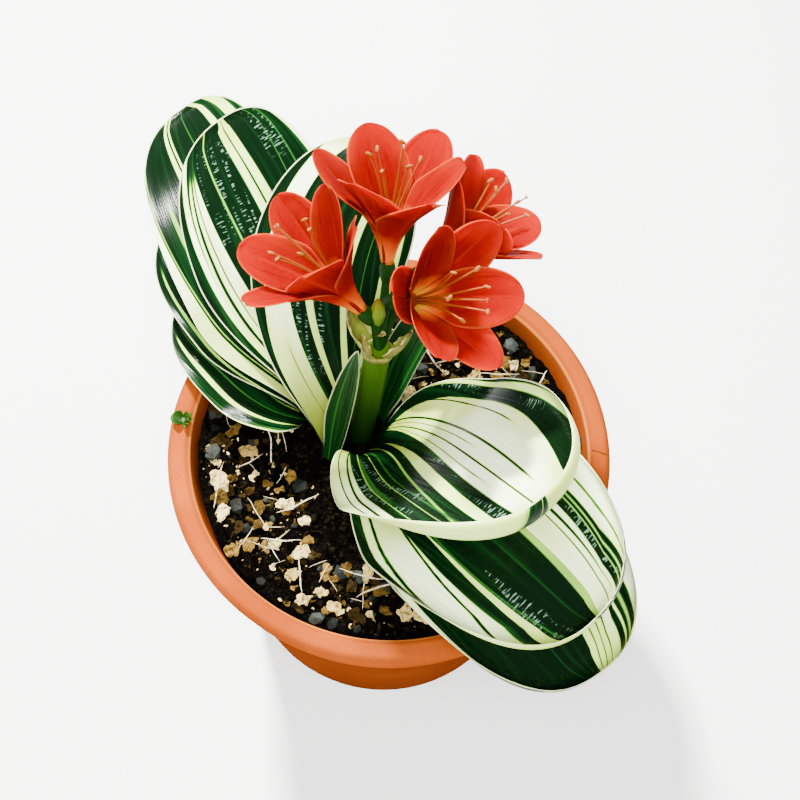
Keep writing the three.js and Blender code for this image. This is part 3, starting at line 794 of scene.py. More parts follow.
@dataclass
class Leaf:
    """One strap leaf, from its sheath in the soil to its rounded tip."""

    name: str
    seat: Step  # place of the sheath along the fan line, and beside it
    heading: Step  # compass direction at the neck, and its swing by the tip
    rise: Step  # slope of the midrib at the neck and at the tip
    twist: Step  # turn of the blade about its midrib at the neck and at the tip
    length: float
    half: float  # half the width where the blade is broadest
    widest: float  # the share of the length where that is
    sheath: Step  # half the width of the sheath, and the radius it is rolled to
    opens: float  # how far along the midrib the blade lies open
    cup: float  # crosswise curvature of the open blade
    roll: float  # how far the margin turns up and over at the tip
    skin: LeafSkin
    slot: str = "leaf"
    point: float = 2.4  # how bluntly the tip is rounded
    rows: int = 80
    columns: int = 30
    lip_steps: int = 9

    LIP = (0.06, 0.36)  # the width of the margin, flat and fully rolled, in halves of the leaf
    FULL_ROLL = 120  # the roll at which the margin has its full width
    ROLL_FROM = 0.3  # the share of the length where the roll begins
    CROWDING = 1.7  # how closely the rows stand at the tip
    STEPS = 240  # of the midrib
    EDGE = (0.22, 0.5)  # half the thickness at the margin and inside it
    EDGE_WIDTH = 9
    MARK_LIMIT = 26.0  # the attribute "mark" stops at this distance from the margin

    def __post_init__(self) -> None:
        """Works out the midrib."""
        t = np.linspace(0, 1, self.STEPS + 1)
        heading, slope = self.heading[0] + self.heading[1] * t, blend(*self.rise, t)
        ahead, up = toward(heading, slope), toward(heading, slope + 90)
        twist = np.radians(blend(*self.twist, t))[:, None]
        middles = (ahead[1:] + ahead[:-1]) / 2 * self.length / self.STEPS
        rib = neck_place(*self.seat) + np.vstack([np.zeros(3), np.cumsum(middles, 0)])
        self.reach = t * self.length
        self.lines = (rib, ahead, up * np.cos(twist) + np.cross(ahead, up) * np.sin(twist))

    def width(self, t: Array) -> Array:
        """Half the width of the leaf at shares of its length.

        Args:
            t: shares of the length.

        Returns:
            Half the width there.
        """
        grown = blend(self.sheath[0], self.half, smooth(t / self.widest))
        past = np.clip((t - self.widest) / (1 - self.widest), 0, 1)
        rounded = self.half * np.maximum(0, 1 - past**self.point) ** (1 / self.point)
        return np.where(t < self.widest, grown, rounded)

    def across(self, t: Array, y: Array) -> Array:
        """The stripe that a place lies on, from 0 at the left margin to 1 at the right."""
        w = np.maximum(self.width(np.clip(t, 0, 0.9995)), 0.5)
        return 0.5 + 0.5 * y / np.sqrt(w * self.half)

    def spot(self, s: Array, y: Array) -> tuple[Array, Array, Array, Array]:
        """Places on the open blade.

        Args:
            s: distance along the midrib.
            y: distance across it, in the surface.

        Returns:
            The places, and the directions ahead, across and up.
        """
        place, ahead, normal = (
            np.stack([np.interp(s, self.reach, line[:, k]) for k in range(3)], -1)
            for line in self.lines
        )
        ahead, normal = unit(ahead), unit(normal)
        across = unit(np.cross(ahead, normal))
        bend = blend(1 / self.sheath[1], self.cup, smooth(s / self.opens))
        bend = np.where(abs(bend) < 1e-5, 1e-5, bend)
        angle, bend = (bend * y)[..., None], bend[..., None]
        place = place + across * np.sin(angle) / bend + normal * (1 - np.cos(angle)) / bend
        turned = across * np.cos(angle) + normal * np.sin(angle)
        return place, ahead, turned, normal * np.cos(angle) - across * np.sin(angle)

    def margin(self, i: Array) -> tuple[Array, Array, Array, Array, Array, Array]:
        """The fold line of the margin.

        Args:
            i: numbers of rows.

        Returns:
            Share of the length, distances along and across, direction out, and the roll's angle
            and radius.
        """

        def share(k: Array) -> Array:
            """The share of the length at a row."""
            return 1 - (1 - k / self.rows) ** self.CROWDING

        t = share(i)
        before, after = share(np.maximum(i - 0.3, 0)), share(np.minimum(i + 0.3, self.rows))
        ds = (after - before) * self.length
        dw = self.width(after) - self.width(before)
        size = np.hypot(ds, dw)
        last = i == self.rows
        out = np.where(last[:, None], [1.0, 0.0], np.stack([-dw / size, ds / size], -1))
        grown = smooth((t - self.ROLL_FROM) / (1 - self.ROLL_FROM))
        angle = np.maximum(math.radians(self.roll) * grown, 0.02)
        radius = self.half * blend(*self.LIP, grown * min(1, self.roll / self.FULL_ROLL)) / angle
        reach = radius * np.sin(np.minimum(angle, math.pi / 2))
        y = np.where(last, 0, self.width(t) - reach * out[:, 1])
        return t, t * self.length - reach * out[:, 0], y, out, angle, radius

    def sheet(self) -> tuple[Array, Array, Array, Array, Array]:
        """The leaf's middle surface.

        Returns:
            Points, normals, flow, distance from the margin, and faces.
        """
        lips, middle = self.lip_steps, self.columns // 2
        i = np.concatenate([[0, 0], np.arange(1, self.rows), [self.rows]]).astype(float)
        t, s, fold_y, out, bend, radius = self.margin(i)
        along, lip = s / self.length, radius * bend
        inner = np.linspace(-1, 1, self.columns + 1)
        y = fold_y[:, None] * inner
        place, _, _, normal = self.spot(s[:, None], y)
        flow = pairs(self.across(along[:, None], y), along[:, None])
        blade = (place, normal, flow, lip[:, None] + fold_y[:, None] * (1 - abs(inner)))

        def roll(side: float) -> tuple[Array, Array, Array, Array]:
            """The rolled lip on one side, from the fold outwards.

            Args:
                side: -1 on the left, 1 on the right.

            Returns:
                Points, normals, flow and distance from the margin.
            """
            base, ahead, turned, up = self.spot(s, side * fold_y)
            outward = unit(ahead * out[:, :1] + side * turned * out[:, 1:])[:, None]
            base, up = base[:, None], up[:, None]
            share = np.arange(1, lips + 1) / lips
            angle, arm = (bend[:, None] * share)[..., None], radius[:, None, None]
            points = base + outward * arm * np.sin(angle) + up * arm * (1 - np.cos(angle))
            normals = up * np.cos(angle) - outward * np.sin(angle)
            outer = side * np.sqrt(np.maximum(self.width(t), 0) / self.half)
            fold = 2 * self.across(along, side * fold_y) - 1
            q = blend(fold[:, None], outer[:, None], share)
            flow = np.stack([0.5 + q / 2, blend(along[:, None], t[:, None], share)], -1)
            return points, normals, flow, lip[:, None] * (1 - share)

        left, right = roll(-1.0), roll(1.0)
        points, normals, flow, rim = (
            np.concatenate([a[:-1, ::-1], b[:-1], c[:-1]], 1)
            for a, b, c in zip(left, blade, right)
        )
        points[0, :, 2] -= SINK
        index, tip = np.arange(rim.size).reshape(rim.shape), rim.size
        last = index[-1]
        edge, chain = last[lips : lips + self.columns + 1], np.arange(tip, tip + lips + 1)
        west, east = last[: lips + 1][::-1], last[lips + self.columns :]
        hub = np.full(self.columns, tip)
        faces = [
            quads(index),
            np.stack([edge[:-1], edge[1:], hub, hub], -1),
            np.stack([west[:-1], chain[:-1], chain[1:], west[1:]], -1),
            np.stack([east[:-1], east[1:], chain[1:], chain[:-1]], -1),
        ]
        points, normals, flow, rim = (
            np.vstack([part.reshape(tip, -1), whole[-1, middle], turned[-1].reshape(lips, -1)])
            for part, whole, turned in zip((points, normals, flow, rim), blade, right)
        )
        return points, normals, flow, rim[:, 0], np.vstack(faces)

    def build(self) -> None:
        """Builds the leaf."""
        points, normals, flow, rim, faces = self.sheet()
        half = blend(*self.EDGE, smooth(rim / self.EDGE_WIDTH))
        shape = Shape()
        add_sheet(shape, points, normals, faces, half, flow, np.minimum(rim, self.MARK_LIMIT))
        shape.make(f"{self.name}_blade", [self.skin.material()], self.name)


LOW_REAR = LeafSkin("Leaf, low rear", (
    Stripe(LIME, (-1.0, -0.95), (-1.0, -0.975), (-0.9, -0.86)),
    thin(GREEN, -0.93, -0.93, -0.8),
    Stripe(CREAM, (-0.82, -0.8), (-0.83, -0.77), (-0.71, -0.69), (-1, 0.86)),
    thin(GREEN, -0.63, -0.635, -0.57, width=0.02),
    Stripe(LIME, (-0.47, -0.46), (-0.475, -0.465), (-0.5, -0.42)),
    Stripe(CREAM, (-0.32, -0.24), (-0.33, -0.25), (-0.3, -0.22)),
    Stripe(CREAM, (0.26, 0.4), (0.3, 0.44), (0.28, 0.4)),
    thin(LIME, 0.56, 0.6, 0.56, width=0.03),
    Stripe(CREAM, (0.8, 0.86), (0.9, 0.96), (0.78, 0.84)),
), seed=3.1)
SECOND_REAR = LeafSkin("Leaf, second rear", (
    Stripe(LIME, (-0.78, -0.76), (-0.905, -0.865), (-0.74, -0.71), (-1, 0.85)),
    thin(GREEN, -0.5, -0.66, -0.6, width=0.02),
    Stripe(CREAM, (-0.36, -0.3), (-0.5, -0.42), (-0.5, -0.43)),
    Stripe(CREAM, (0.2, 0.33), (0.28, 0.44), (0.28, 0.4)),
    thin(LIME, 0.45, 0.56, 0.5, width=0.025),
    Stripe(WHITE, (0.66, 0.74), (0.85, 0.97), (0.78, 0.87)),
), seed=9.4)
LONG_REAR = LeafSkin("Leaf, long rear", (
    Stripe(WHITE, (-1.02, -0.63), (-1.05, -0.905), (-1.0, -0.86)),
    thin(LIME, -0.57, -0.88, -0.83, width=0.018),
    Stripe(LIME, (-0.7, -0.65), (-0.71, -0.65), (-0.7, -0.65), (0.57, 0.72)),
    Stripe(CREAM, (-0.3, -0.24), (-0.37, -0.3), (-0.49, -0.43)),
    Stripe(CREAM, (-0.2, -0.18), (-0.28, -0.25), (-0.4, -0.365)),
    thin(GREEN, 0.05, 0.03, -0.06, width=0.018),
    Stripe(CREAM, (0.3, 0.42), (0.36, 0.48), (0.31, 0.42)),
    Stripe(CREAM, (0.5, 0.6), (0.6, 0.75), (0.56, 0.72)),
    thin(GREEN, 0.68, 0.84, 0.8),
), (Patch((-0.3, 0.3), (0.45, 0.7)),), 5.7)
HIGH_REAR = LeafSkin("Leaf, high rear", (
    Stripe(WHITE, (-0.6, -0.54), (-0.875, -0.8), (-0.84, -0.79)),
    Stripe(WHITE, (-0.53, -0.5), (-0.795, -0.76), (-0.75, -0.715), (-1, 0.86)),
    Stripe(WHITE, (-0.46, -0.25), (-0.72, -0.49), (-0.7, -0.67), (-1, 0.87)),
    thin(DEEP, -0.4, -0.645, -0.69, width=0.016),
    thin(LIME, -0.2, -0.28, -0.455, width=0.026),
    Stripe(CREAM, (0.1, 0.19), (0.085, 0.19), (-0.104, 0.0)),
    Stripe(CREAM, (0.235, 0.32), (0.22, 0.325), (0.022, 0.135)),
    thin(GREEN, 0.5, 0.53, 0.53),
    thin(GREEN, 0.62, 0.7, 0.66, width=0.02),
    Stripe(WHITE, (0.68, 0.73), (0.94, 1.02), (0.8, 0.87)),
), (Patch((-0.62, -0.06), (0.6, 0.93)), Patch((0.3, 0.7), (0.84, 0.95))), 1.3, (-0.06, -0.2))
UPPERMOST_REAR = LeafSkin("Leaf, uppermost rear", (
    Stripe(WHITE, (-0.59, 0.03), (-0.77, -0.43), (-0.86, -0.62)),
    thin(GREEN, -0.2, -0.62, -0.8, width=0.02, span=(-1, 0.4)),
    Stripe(CREAM, (0.25, 0.33), (-0.2, -0.09), (-0.36, -0.25)),
    Stripe(CREAM, (0.45, 0.58), (0.3, 0.39), (0.2, 0.3)),
    thin(GREEN, 0.66, 0.55, 0.45),
    Stripe(CREAM, (0.64, 0.7), (0.74, 0.92), (0.6, 0.78)),
), (Patch((-0.4, 0.1), (0.3, 0.55)),), 7.9, (-0.4, -0.58), (0.12, 0.42))
LOW_FRONT = LeafSkin("Leaf, low front", (
    Stripe(WHITE, (-0.62, -0.52), (-0.98, -0.78), (-0.83, -0.73)),
    thin(LIME, -0.46, -0.7, -0.66, width=0.03),
    Stripe(WHITE, (-0.42, -0.37), (-0.63, -0.57), (-0.61, -0.585)),
    Stripe(WHITE, (-0.33, -0.2), (-0.54, -0.42), (-0.53, -0.42)),
    Stripe(CREAM, (-0.18, 0.0), (-0.38, -0.12), (-0.4, -0.14)),
    thin(GREEN, -0.13, -0.3, -0.32, width=0.02),
    thin(GREEN, -0.07, -0.2, -0.23, width=0.02),
    thin(DEEP, 0.1, 0.2, 0.25, width=0.02),
    Stripe(LIME, (0.3, 0.34), (0.42, 0.46), (0.38, 0.41), (-1, 0.8)),
    Stripe(WHITE, (0.68, 0.72), (0.94, 1.0), (0.8, 0.84)),
), seed=2.2, lip=(-1.2, 1.2))
MIDDLE_FRONT = LeafSkin("Leaf, middle front", (
    Stripe(WHITE, (-0.7, -0.5), (-1.02, -0.66), (-0.8, -0.665)),
    thin(GREEN, -0.56, -0.78, -0.71),
    thin(LIME, -0.43, -0.625, -0.615, width=0.02),
    thin(LIME, -0.4, -0.59, -0.57),
    Stripe(WHITE, (-0.4, -0.34), (-0.51, -0.44), (-0.495, -0.45)),
    Stripe(WHITE, (-0.31, -0.1), (-0.4, -0.14), (-0.44, -0.19)),
    thin(GREEN, -0.25, -0.35, -0.375),
    Stripe(LIME, (-0.1, -0.07), (-0.14, -0.1), (-0.19, -0.11)),
    thin(DEEP, 0.05, 0.1, 0.1, width=0.02),
    thin(GREEN, 0.2, 0.43, 0.45, width=0.02),
    Stripe(CREAM, (0.33, 0.34), (0.45, 0.47), (0.485, 0.575)),
    Stripe(WHITE, (0.4, 0.71), (0.6, 0.93), (0.67, 0.88)),
    thin(DARK, 0.36, 0.63, 0.79, width=0.02),
    thin(DARK, 0.55, 0.885, 0.96, width=0.03),
    thin(DARK, 0.66, 0.975, 1.0, width=0.03),
    Stripe(CREAM, (0.75, 0.77), (1.0, 1.02), (0.83, 1.0)),
), (Patch((0.3, 0.48), (0.5, 0.95)), Patch((-0.66, -0.5), (0.7, 0.95))), 4.6, lip=(-1.2, -0.05))
UPPER_FRONT_PATCHES = (
    Patch((-0.9, -0.8), (0.3, 0.95)),
    Patch((0.0, 0.12), (0.4, 0.75)),
    Patch((0.26, 0.4), (0.78, 0.95)),
    Patch((0.45, 0.75), (0.3, 0.66)),
)
UPPER_FRONT = LeafSkin("Leaf, upper front", (
    Stripe(CREAM, (-0.75, -0.72), (-0.97, -0.905), (-0.86, -0.76)),
    Stripe(WHITE, (-0.53, -0.325), (-0.75, 0.0), (-0.5, 0.25)),
    thin(DARK, -0.62, -0.655, -0.42, span=(0.2, 0.66)),
    thin(DARK, -0.48, -0.367, -0.169, width=0.026, span=(-1, 0.86)),
    thin(DARK, -0.377, -0.17, 0.03, width=0.018),
    thin(DEEP, -0.43, -0.27, -0.08, width=0.01, span=(-1, 0.6)),
    thin(GREEN, -0.345, -0.07, 0.13, width=0.012, span=(0.2, 0.75)),
    Stripe(CREAM, (-0.115, -0.095), (0.123, 0.237), (0.42, 0.53)),
    thin(LIME, 0.04, 0.335, 0.7, width=0.026),
    thin(GREEN, 0.2, 0.43, 0.62, width=0.02),
    thin(LIME, 0.29, 0.51, 0.71, width=0.012),
    Stripe(GREEN, (0.4, 0.46), (0.62, 0.68), (0.8, 0.86), (0.28, 0.6)),
    thin(LIME, 0.44, 0.68, 0.86),
    Stripe(WHITE, (0.56, 0.71), (0.77, 1.03), (0.95, 1.05)),
    thin(DARK, 0.56, 0.84, 0.98, width=0.022),
    thin(DARK, 0.66, 0.91, 1.0),
), UPPER_FRONT_PATCHES, 6.5, (0.15, 0.36), (0.18, 0.46), (0.22, 0.5))
YOUNG = LeafSkin("Leaf, young", (
    Stripe(DEEP, (-0.9, 0.9), (-1.0, 1.0), (-0.9, 0.9)),
    thin(GREEN, -0.4, -0.45, -0.3, width=0.1),
    thin(GREEN, 0.4, 0.5, 0.4, width=0.1),
    thin(DARK, 0.0, 0.0, 0.0, width=0.06),
), seed=8.8, margin=0.5)

FRONT_ROLL = 125.0
YOUNG_MESH = {"slot": "young_leaf", "rows": 60, "columns": 16, "lip_steps": 2}
LEAVES = (
    Leaf("leaf_rear_1", (29.6, -0.5), (157, -17), (75, -35), (-1, -26),
         112, 44, 0.25, (12.5, 20), 50, 0.002, 30, LOW_REAR),
    Leaf("leaf_rear_2", (21.5, 0), (138, -5), (71, -34), (4, -35),
         162, 39.5, 0.48, (13.5, 17), 66, 0.003, 30, SECOND_REAR),
    Leaf("leaf_rear_3", (18, 0), (134, -21), (69, -24), (2, -23),
         213.7, 43, 0.4, (12, 14.5), 78, 0.003, 30, LONG_REAR),
    Leaf("leaf_rear_4", (14.5, 0), (124, -9), (70, 3), (9, -31),
         184, 43, 0.58, (12, 14), 88, 0.003, 30, HIGH_REAR),
    Leaf("leaf_rear_5", (9.7, 5.8), (131, -88), (84, 13), (1, 0),
         176, 39.5, 0.7, (10, 12), 80, -0.002, 25, UPPERMOST_REAR),
    Leaf("leaf_front_1", (-19, 0), (-40, -10), (53, -30), (1, 9),
         178.9, 52, 0.5, (15, 16), 60, 0.0015, FRONT_ROLL, LOW_FRONT),
    Leaf("leaf_front_2", (-15.5, 0), (-43, 1), (63, -17), (3, 12),
         176, 55, 0.48, (13.5, 15), 72, 0.003, FRONT_ROLL, MIDDLE_FRONT),
    Leaf("leaf_front_3", (-12, 0), (-42, 5), (69, 23), (-5, -5),
         169, 55, 0.53, (12, 14), 85, 0.0055, FRONT_ROLL, UPPER_FRONT),
    Leaf("leaf_young_left", (-3, 17), (46, 8), (79, 77), (0, 0),
         102, 9.5, 0.45, (6, 7), 45, 0.11, 0, YOUNG, point=1.5, **YOUNG_MESH),
    Leaf("leaf_young_right", (-2.5, -20), (34, -6), (80, 66), (0, 0),
         122, 14.5, 0.5, (6, 7), 45, 0.06, 0, YOUNG, point=1.8, **YOUNG_MESH),
)


# ---------------- flowers
@dataclass(frozen=True)
class TepalSkin(Skin):
    """The satin skin of the tepals: yellow in the throat, red, and coral towards the margin, with
    coral patches painted where light falls.
    """

    INSIDE = (
        (0.0, (0.9, 0.45, 0.008)), (0.18, (0.85, 0.3, 0.004)),
        (0.32, (0.5, 0.06, 0.0008)), (0.44, (0.15, 0.0007, 0.0001)),
        (0.72, (0.122, 0.0006, 0.0001)), (1.0, (0.16, 0.003, 0.0002)),
    )
    OUTSIDE = (
        (0.0, (0.5, 0.12, 0.002)), (0.14, (0.38, 0.035, 0.0005)),
        (0.3, (0.15, 0.0007, 0.0001)), (0.7, (0.13, 0.0006, 0.0001)),
        (1.0, (0.16, 0.0025, 0.0002)),
    )
    # painted light: the coral of the patches where light falls on the tepals
    LIT_CORAL = (0.19, 0.01, 0.0005)
    DARK_STROKE = (0.07, 0.0003, 0.0001)
    VEIN = (0.24, 0.012, 0.0008)
    MARGIN = (0.32, 0.04, 0.008)

    def sockets(self, s: Surface) -> dict[str, object]:
        """What feeds the shader, which reads the UV map and the attribute "mark".

        Args:
            s: the material.

        Returns:
            What feeds each socket, by its name.
        """
        across, along = s.flow()
        under, mark = s.sides()
        side = abs(across - 0.5) * 2
        veins = s.strokes(across * 26 + mark * 3, along * 1.1, rough=0.6)
        cloud = s.strokes(across * 2.4, along * 2.6, mark * 4)
        strokes = s.strokes(across * 12 + mark * 7, along * 2.2, rough=0.7).rise(0.56, 0.68)
        grain = s.strokes(across * 60, along * 22)
        reach = along + (cloud - 0.5) * 0.16 - side * 0.04
        tone = s.mix(under, s.ramp(reach, self.INSIDE), s.ramp(reach, self.OUTSIDE))
        # painted light: coral patches where the key light would fall, over the deep red
        painted_lit_patches = side.rise(0.35, 1.0) * along.rise(0.3, 0.7) * cloud.rise(0.4, 0.58)
        tone = s.mix(painted_lit_patches * 0.85, tone, self.LIT_CORAL)
        tone = s.mix(strokes * along.rise(0.4, 0.65) * 0.65, tone, self.DARK_STROKE)
        tone = s.mix(veins.fall(0.25, 0.42) * 0.2, tone, self.VEIN)
        tone = s.mix(side.rise(0.9, 0.99) * along.rise(0.35, 0.6) * 0.6, tone, self.MARGIN)
        rib = side.fall(0.0, 0.07) * along.rise(0.15, 0.4) * along.fall(0.75, 0.95)
        return {
            "Base Color": s.mix(rib * 0.35, tone, self.VEIN),
            "Roughness": 0.5 + 0.14 * grain,
            "Normal": s.bump(veins * 0.7 + grain * 0.3, 0.0003, 0.35),
            "Specular IOR Level": 0.01,
            "Subsurface Weight": 0.7,
            "Subsurface Radius": (1.0, 0.06, 0.02),
            "Subsurface Scale": 0.003,
        }


@dataclass(frozen=True)
class StamenSkin(Skin):
    """The pale orange filaments, or the yellow anthers."""

    low: Colour
    high: Colour
    roughness: float = 0.5

    def sockets(self, s: Surface) -> dict[str, object]:
        """What feeds the shader: one colour turns into the other along each thread.

        Args:
            s: the material.

        Returns:
            What feeds each socket, by its name.
        """
        along = s.flow()[1]
        grain = s.noise(s.place(), 900.0)
        share = (along + (grain - 0.5) * 0.3).at_least(0.0).at_most(1.0)
        return {
            "Base Color": s.mix(share, self.low, self.high),
            "Roughness": self.roughness + 0.1 * grain,
            "Normal": s.bump(grain, 0.0002, 0.4),
        }


class Ring(Enum):
    """The two rings of tepals: half width, distance of its foot, and how much further it opens."""

    INNER = (14.8, 0.0, -2.0)
    OUTER = (13.4, 1.4, 4.0)


@dataclass
class Flower:
    """One open flower: six tepals that grow together at a tube, six stamens and a style."""

    name: str
    base: Place
    lean: float
    heading: float
    turn: float
    open: float
    size: float
    seed: int
    broad: float = 1.0
    length: float = 64.0
    rows: int = 30
    columns: int = 18

    CORE = 1.5  # the least distance of a tepal from the axis
    FOOT = 2.2  # half the width of a tepal at its foot
    BROADEST = 0.62  # the share of a tepal's length where it is broadest
    STEPS = 48  # of a tepal's midline
    TUBE = (0.0, 0.6, 3.0, 6.0, 9.0, 11.0)  # heights of the tube's rings
    HUB = ((11.3, 2.2), (12.0, 2.2), (14.0, 1.6))  # heights and radii of the stamens' hub
    ANTHER = ((0.0, 0.3), (0.12, 0.8), (0.35, 1.0), (0.65, 1.0), (0.88, 0.8), (1.0, 0.3))
    ANTHER_SIZE = (3.5, 0.78)  # its length and radius
    STIGMA = ((-0.2, 0.4), (0.7, 0.4), (1.4, 0.2))  # along each lobe, and its radius

    def __post_init__(self) -> None:
        """Works out the flower's own directions."""
        self.axis = toward(self.heading, 90 - self.lean)
        self.side = toward(self.heading + 90, 0.0)
        self.front = np.cross(self.axis, self.side)

    def out(self, turn: Numbers) -> Array:
        """The direction away from the axis at a turn in radians."""
        return self.side * np.cos(turn) + self.front * np.sin(turn)

    def spot(self, height: Numbers, distance: Numbers = 0.0, turn: Numbers = 0.0) -> Array:
        """Places by height along the axis, distance from it, and turn round it in radians."""
        height, distance, turn = (v[..., None] for v in np.broadcast_arrays(height, distance, turn))
        return np.array(self.base) + self.axis * height + self.out(turn) * distance

    def line(self, ring: Ring) -> tuple[Array, Array]:
        """Distance and height of a tepal's midline, at even shares of its length.

        Args:
            ring: which ring the tepal stands in.

        Returns:
            The distances and the heights.
        """
        _, offset, extra = ring.value
        t = (np.arange(self.STEPS) + 0.5) / self.STEPS
        lean = np.radians(blend(8, self.open + extra, smooth(t / 0.66) ** 0.8))
        step = self.length * self.size / self.STEPS
        r = self.CORE + offset + np.concatenate([[0], np.cumsum(np.sin(lean) * step)])
        return r, np.concatenate([[0], np.cumsum(np.cos(lean) * step)])

    def tepal(self, shape: Shape, ring: Ring, turn: float, random: np.random.Generator) -> None:
        """Adds one tepal.

        Args:
            shape: where it goes.
            ring: which ring it stands in.
            turn: its turn round the axis, in radians.
            random: the draws for its waves.
        """
        r_line, h_line = self.line(ring)
        shares = np.linspace(0, 1, len(r_line))
        t = np.minimum(1 - (1 - np.linspace(0, 1, self.rows)) ** 1.6, 0.9985)[:, None]
        v = np.linspace(-1, 1, self.columns + 1)[None]
        r, h = np.interp(t, shares, r_line), np.interp(t, shares, h_line)
        distance = np.maximum(r, self.CORE)
        past = np.clip((t - self.BROADEST) / (1 - self.BROADEST), 0, 1)
        full = blend(self.FOOT, ring.value[0] * self.size * self.broad, smooth(t / self.BROADEST))
        half = np.minimum(full * np.sqrt(1 - past**2.4), distance * (math.pi / 3) * 0.97)
        across = half * v
        girth = distance * blend(1, 1.6, smooth((t - 0.5) / 0.5))
        phase, lag, _ = random.uniform(0, TURN, 3)
        ripple = np.sin(7 * t * (1 + 0.3 * v) + phase + 1.5 * v) * abs(v) ** 3 * 0.9
        curl = 0.9 * np.sin(lag + 2.2 * t) * v * abs(v)
        shoulders = 0.25 * np.exp(-(((abs(across) - 3.2) / 1.6) ** 2))
        groove = -0.7 * np.exp(-((across / 1.5) ** 2)) + shoulders
        lift = smooth((t - 0.35) / 0.5) * (ripple + curl)
        lift = lift + groove * smooth(t / 0.3) * (1 - smooth((t - 0.7) / 0.3))
        angle = across / girth
        points = self.spot(h, r - girth * (1 - np.cos(angle)), turn)
        points = points + self.out(turn + math.pi / 2) * (girth * np.sin(angle))[..., None]
        normals = lie_of(points)
        points = points + normals * lift[..., None]
        thick = blend(0.16, 0.34, (1 - v**2) * (1 - t**3))
        add_panel(shape, points, normals, thick, (v, t), random.uniform(0, 4))

    def build(self, skin: Finish) -> None:
        """Builds the tube and the tepals.

        Args:
            skin: the tepals' material.
        """
        random = np.random.default_rng(self.seed)
        shape = Shape()
        for k in range(6):
            ring = Ring.OUTER if k % 2 else Ring.INNER
            self.tepal(shape, ring, math.radians(self.turn + 60 * k), random)
        r_line, h_line = self.line(Ring.OUTER)
        radii = np.interp(self.TUBE, h_line, r_line) - 0.25
        radii[0] = 2.0
        add_rod(shape, self.spot(self.TUBE), self.axis, radii, 24, mark=UNDER + 1)
        shape.make(f"{self.name}_tepals", [skin], self.name)

    def thread(
        self, shape: Shape, length: float, root: float, spread: float, turn: float, girth: float
    ) -> tuple[Array, Array]:
        """Adds one thread.

        Args:
            shape: where it goes.
            length: how far it rises along the axis.
            root: how far from the axis it starts.
            spread: how far it bends outwards.
            turn: its turn round the axis, in radians.
            girth: its radius at the root.

        Returns:
            Its end, and its direction there.
        """
        t = np.linspace(0, 1, 14)
        sway = 0.12 * np.sin(t * 3 + turn) * t
        places = self.spot(12.5 + length * (t - 0.06 * t**3), root + spread * t**1.6, turn + sway)
        ahead = unit(np.gradient(places, axis=0))
        add_rod(shape, places, ahead, girth * blend(1.0, 0.62, t), 8)
        return places[-1], ahead[-1]

    def build_stamens(self, filament: Finish, anther: Finish) -> None:
        """Builds the stamens and the style.

        Args:
            filament: material of the filaments.
            anther: material of the anthers.
        """
        shape = Shape()
        heights, radii = np.array(self.HUB).T
        add_rod(shape, self.spot(heights), self.axis, radii, 12)
        (profile, girth), (long, radius) = np.array(self.ANTHER).T, self.ANTHER_SIZE
        for k in range(6):
            turn = math.radians(self.turn + 60 * k + 14)
            end, ahead = self.thread(shape, 43.6 + 3 * (k % 2), 1.3, 10.0, turn, 0.62)
            lie = unit(toward(self.heading + 90 * k, 10.0) + 0.5 * ahead)
            places = end + lie * ((profile - 0.5) * long)[:, None]
            add_rod(shape, places, lie, radius * girth, 10, dress=1, ribs=(2, 0.12))
        end, ahead = self.thread(shape, 51.5, 0.0, 5.0, math.radians(self.turn + 200), 0.58)
        steps, radii = np.array(self.STIGMA).T
        for k in range(3):
            out = unit(ahead + 0.9 * self.out(TURN * k / 3))
            add_rod(shape, end + out * steps[:, None], out, radii, 6)
        name = self.name.replace("flower", "stamens")
        shape.make(f"{name}_threads", [filament, anther], name)


FLOWERS = (
    Flower("flower_1", (-17.3, 19.6, 304.8), 35, 169, 34, 35, 1.0, 11),
    Flower("flower_2", (-6.5, 40.8, 314.2), 22, 88, -62, 38, 0.993, 12, 1.1),
    Flower("flower_3", (0, 23, 308.4), 40, -33, 76, 39, 0.98, 13),
    Flower("flower_4", (10.6, 46.6, 300.4), 46, 25, 20, 34, 0.93, 14, 1.18),
)


# ---------------- small leaves
RIM_LIMIT = 4.5  # on small leaves and bracts the attribute "mark" stops at this distance


@dataclass
class Leaflet:
    """One small, cupped leaf, of the seedling or on a pedicel."""

    turn: float
    lift: float
    reach: float
    half: float
    cup: float
    tooth: float = 0.0
    rows: int = 26
    columns: int = 14

    OUTLINE = ((0, 0.2, 0.45, 0.7, 0.88, 1), (0.3, 0.72, 1, 0.9, 0.6, 0.1))

    def add(self, shape: Shape, root: Array) -> None:
        """Adds the leaf.

        Args:
            shape: where it goes.
            root: the place that it grows from.
        """
        out, beside = toward(self.turn, self.lift), toward(self.turn + 90, 0.0)
        t = np.linspace(0, 0.995, self.rows)[:, None]
        v = np.linspace(-1, 1, self.columns + 1)[None]
        width = self.half * np.interp(t, *self.OUTLINE) * (1 + self.tooth * np.sin(t * 50))
        dish = self.cup * (v * width / self.half) ** 2 + 0.12 * np.sin(9 * t + 3 * v)
        points = root + out * (self.reach * t + 0 * v)[..., None]
        points = points + beside * (width * v)[..., None]
        points = points + np.cross(out, beside) * dish[..., None]
        rim = np.minimum(width * (1 - abs(v)), self.reach * (1.02 - t))
        add_panel(shape, points, lie_of(points), 0.24, (v, t), np.minimum(rim, RIM_LIMIT))


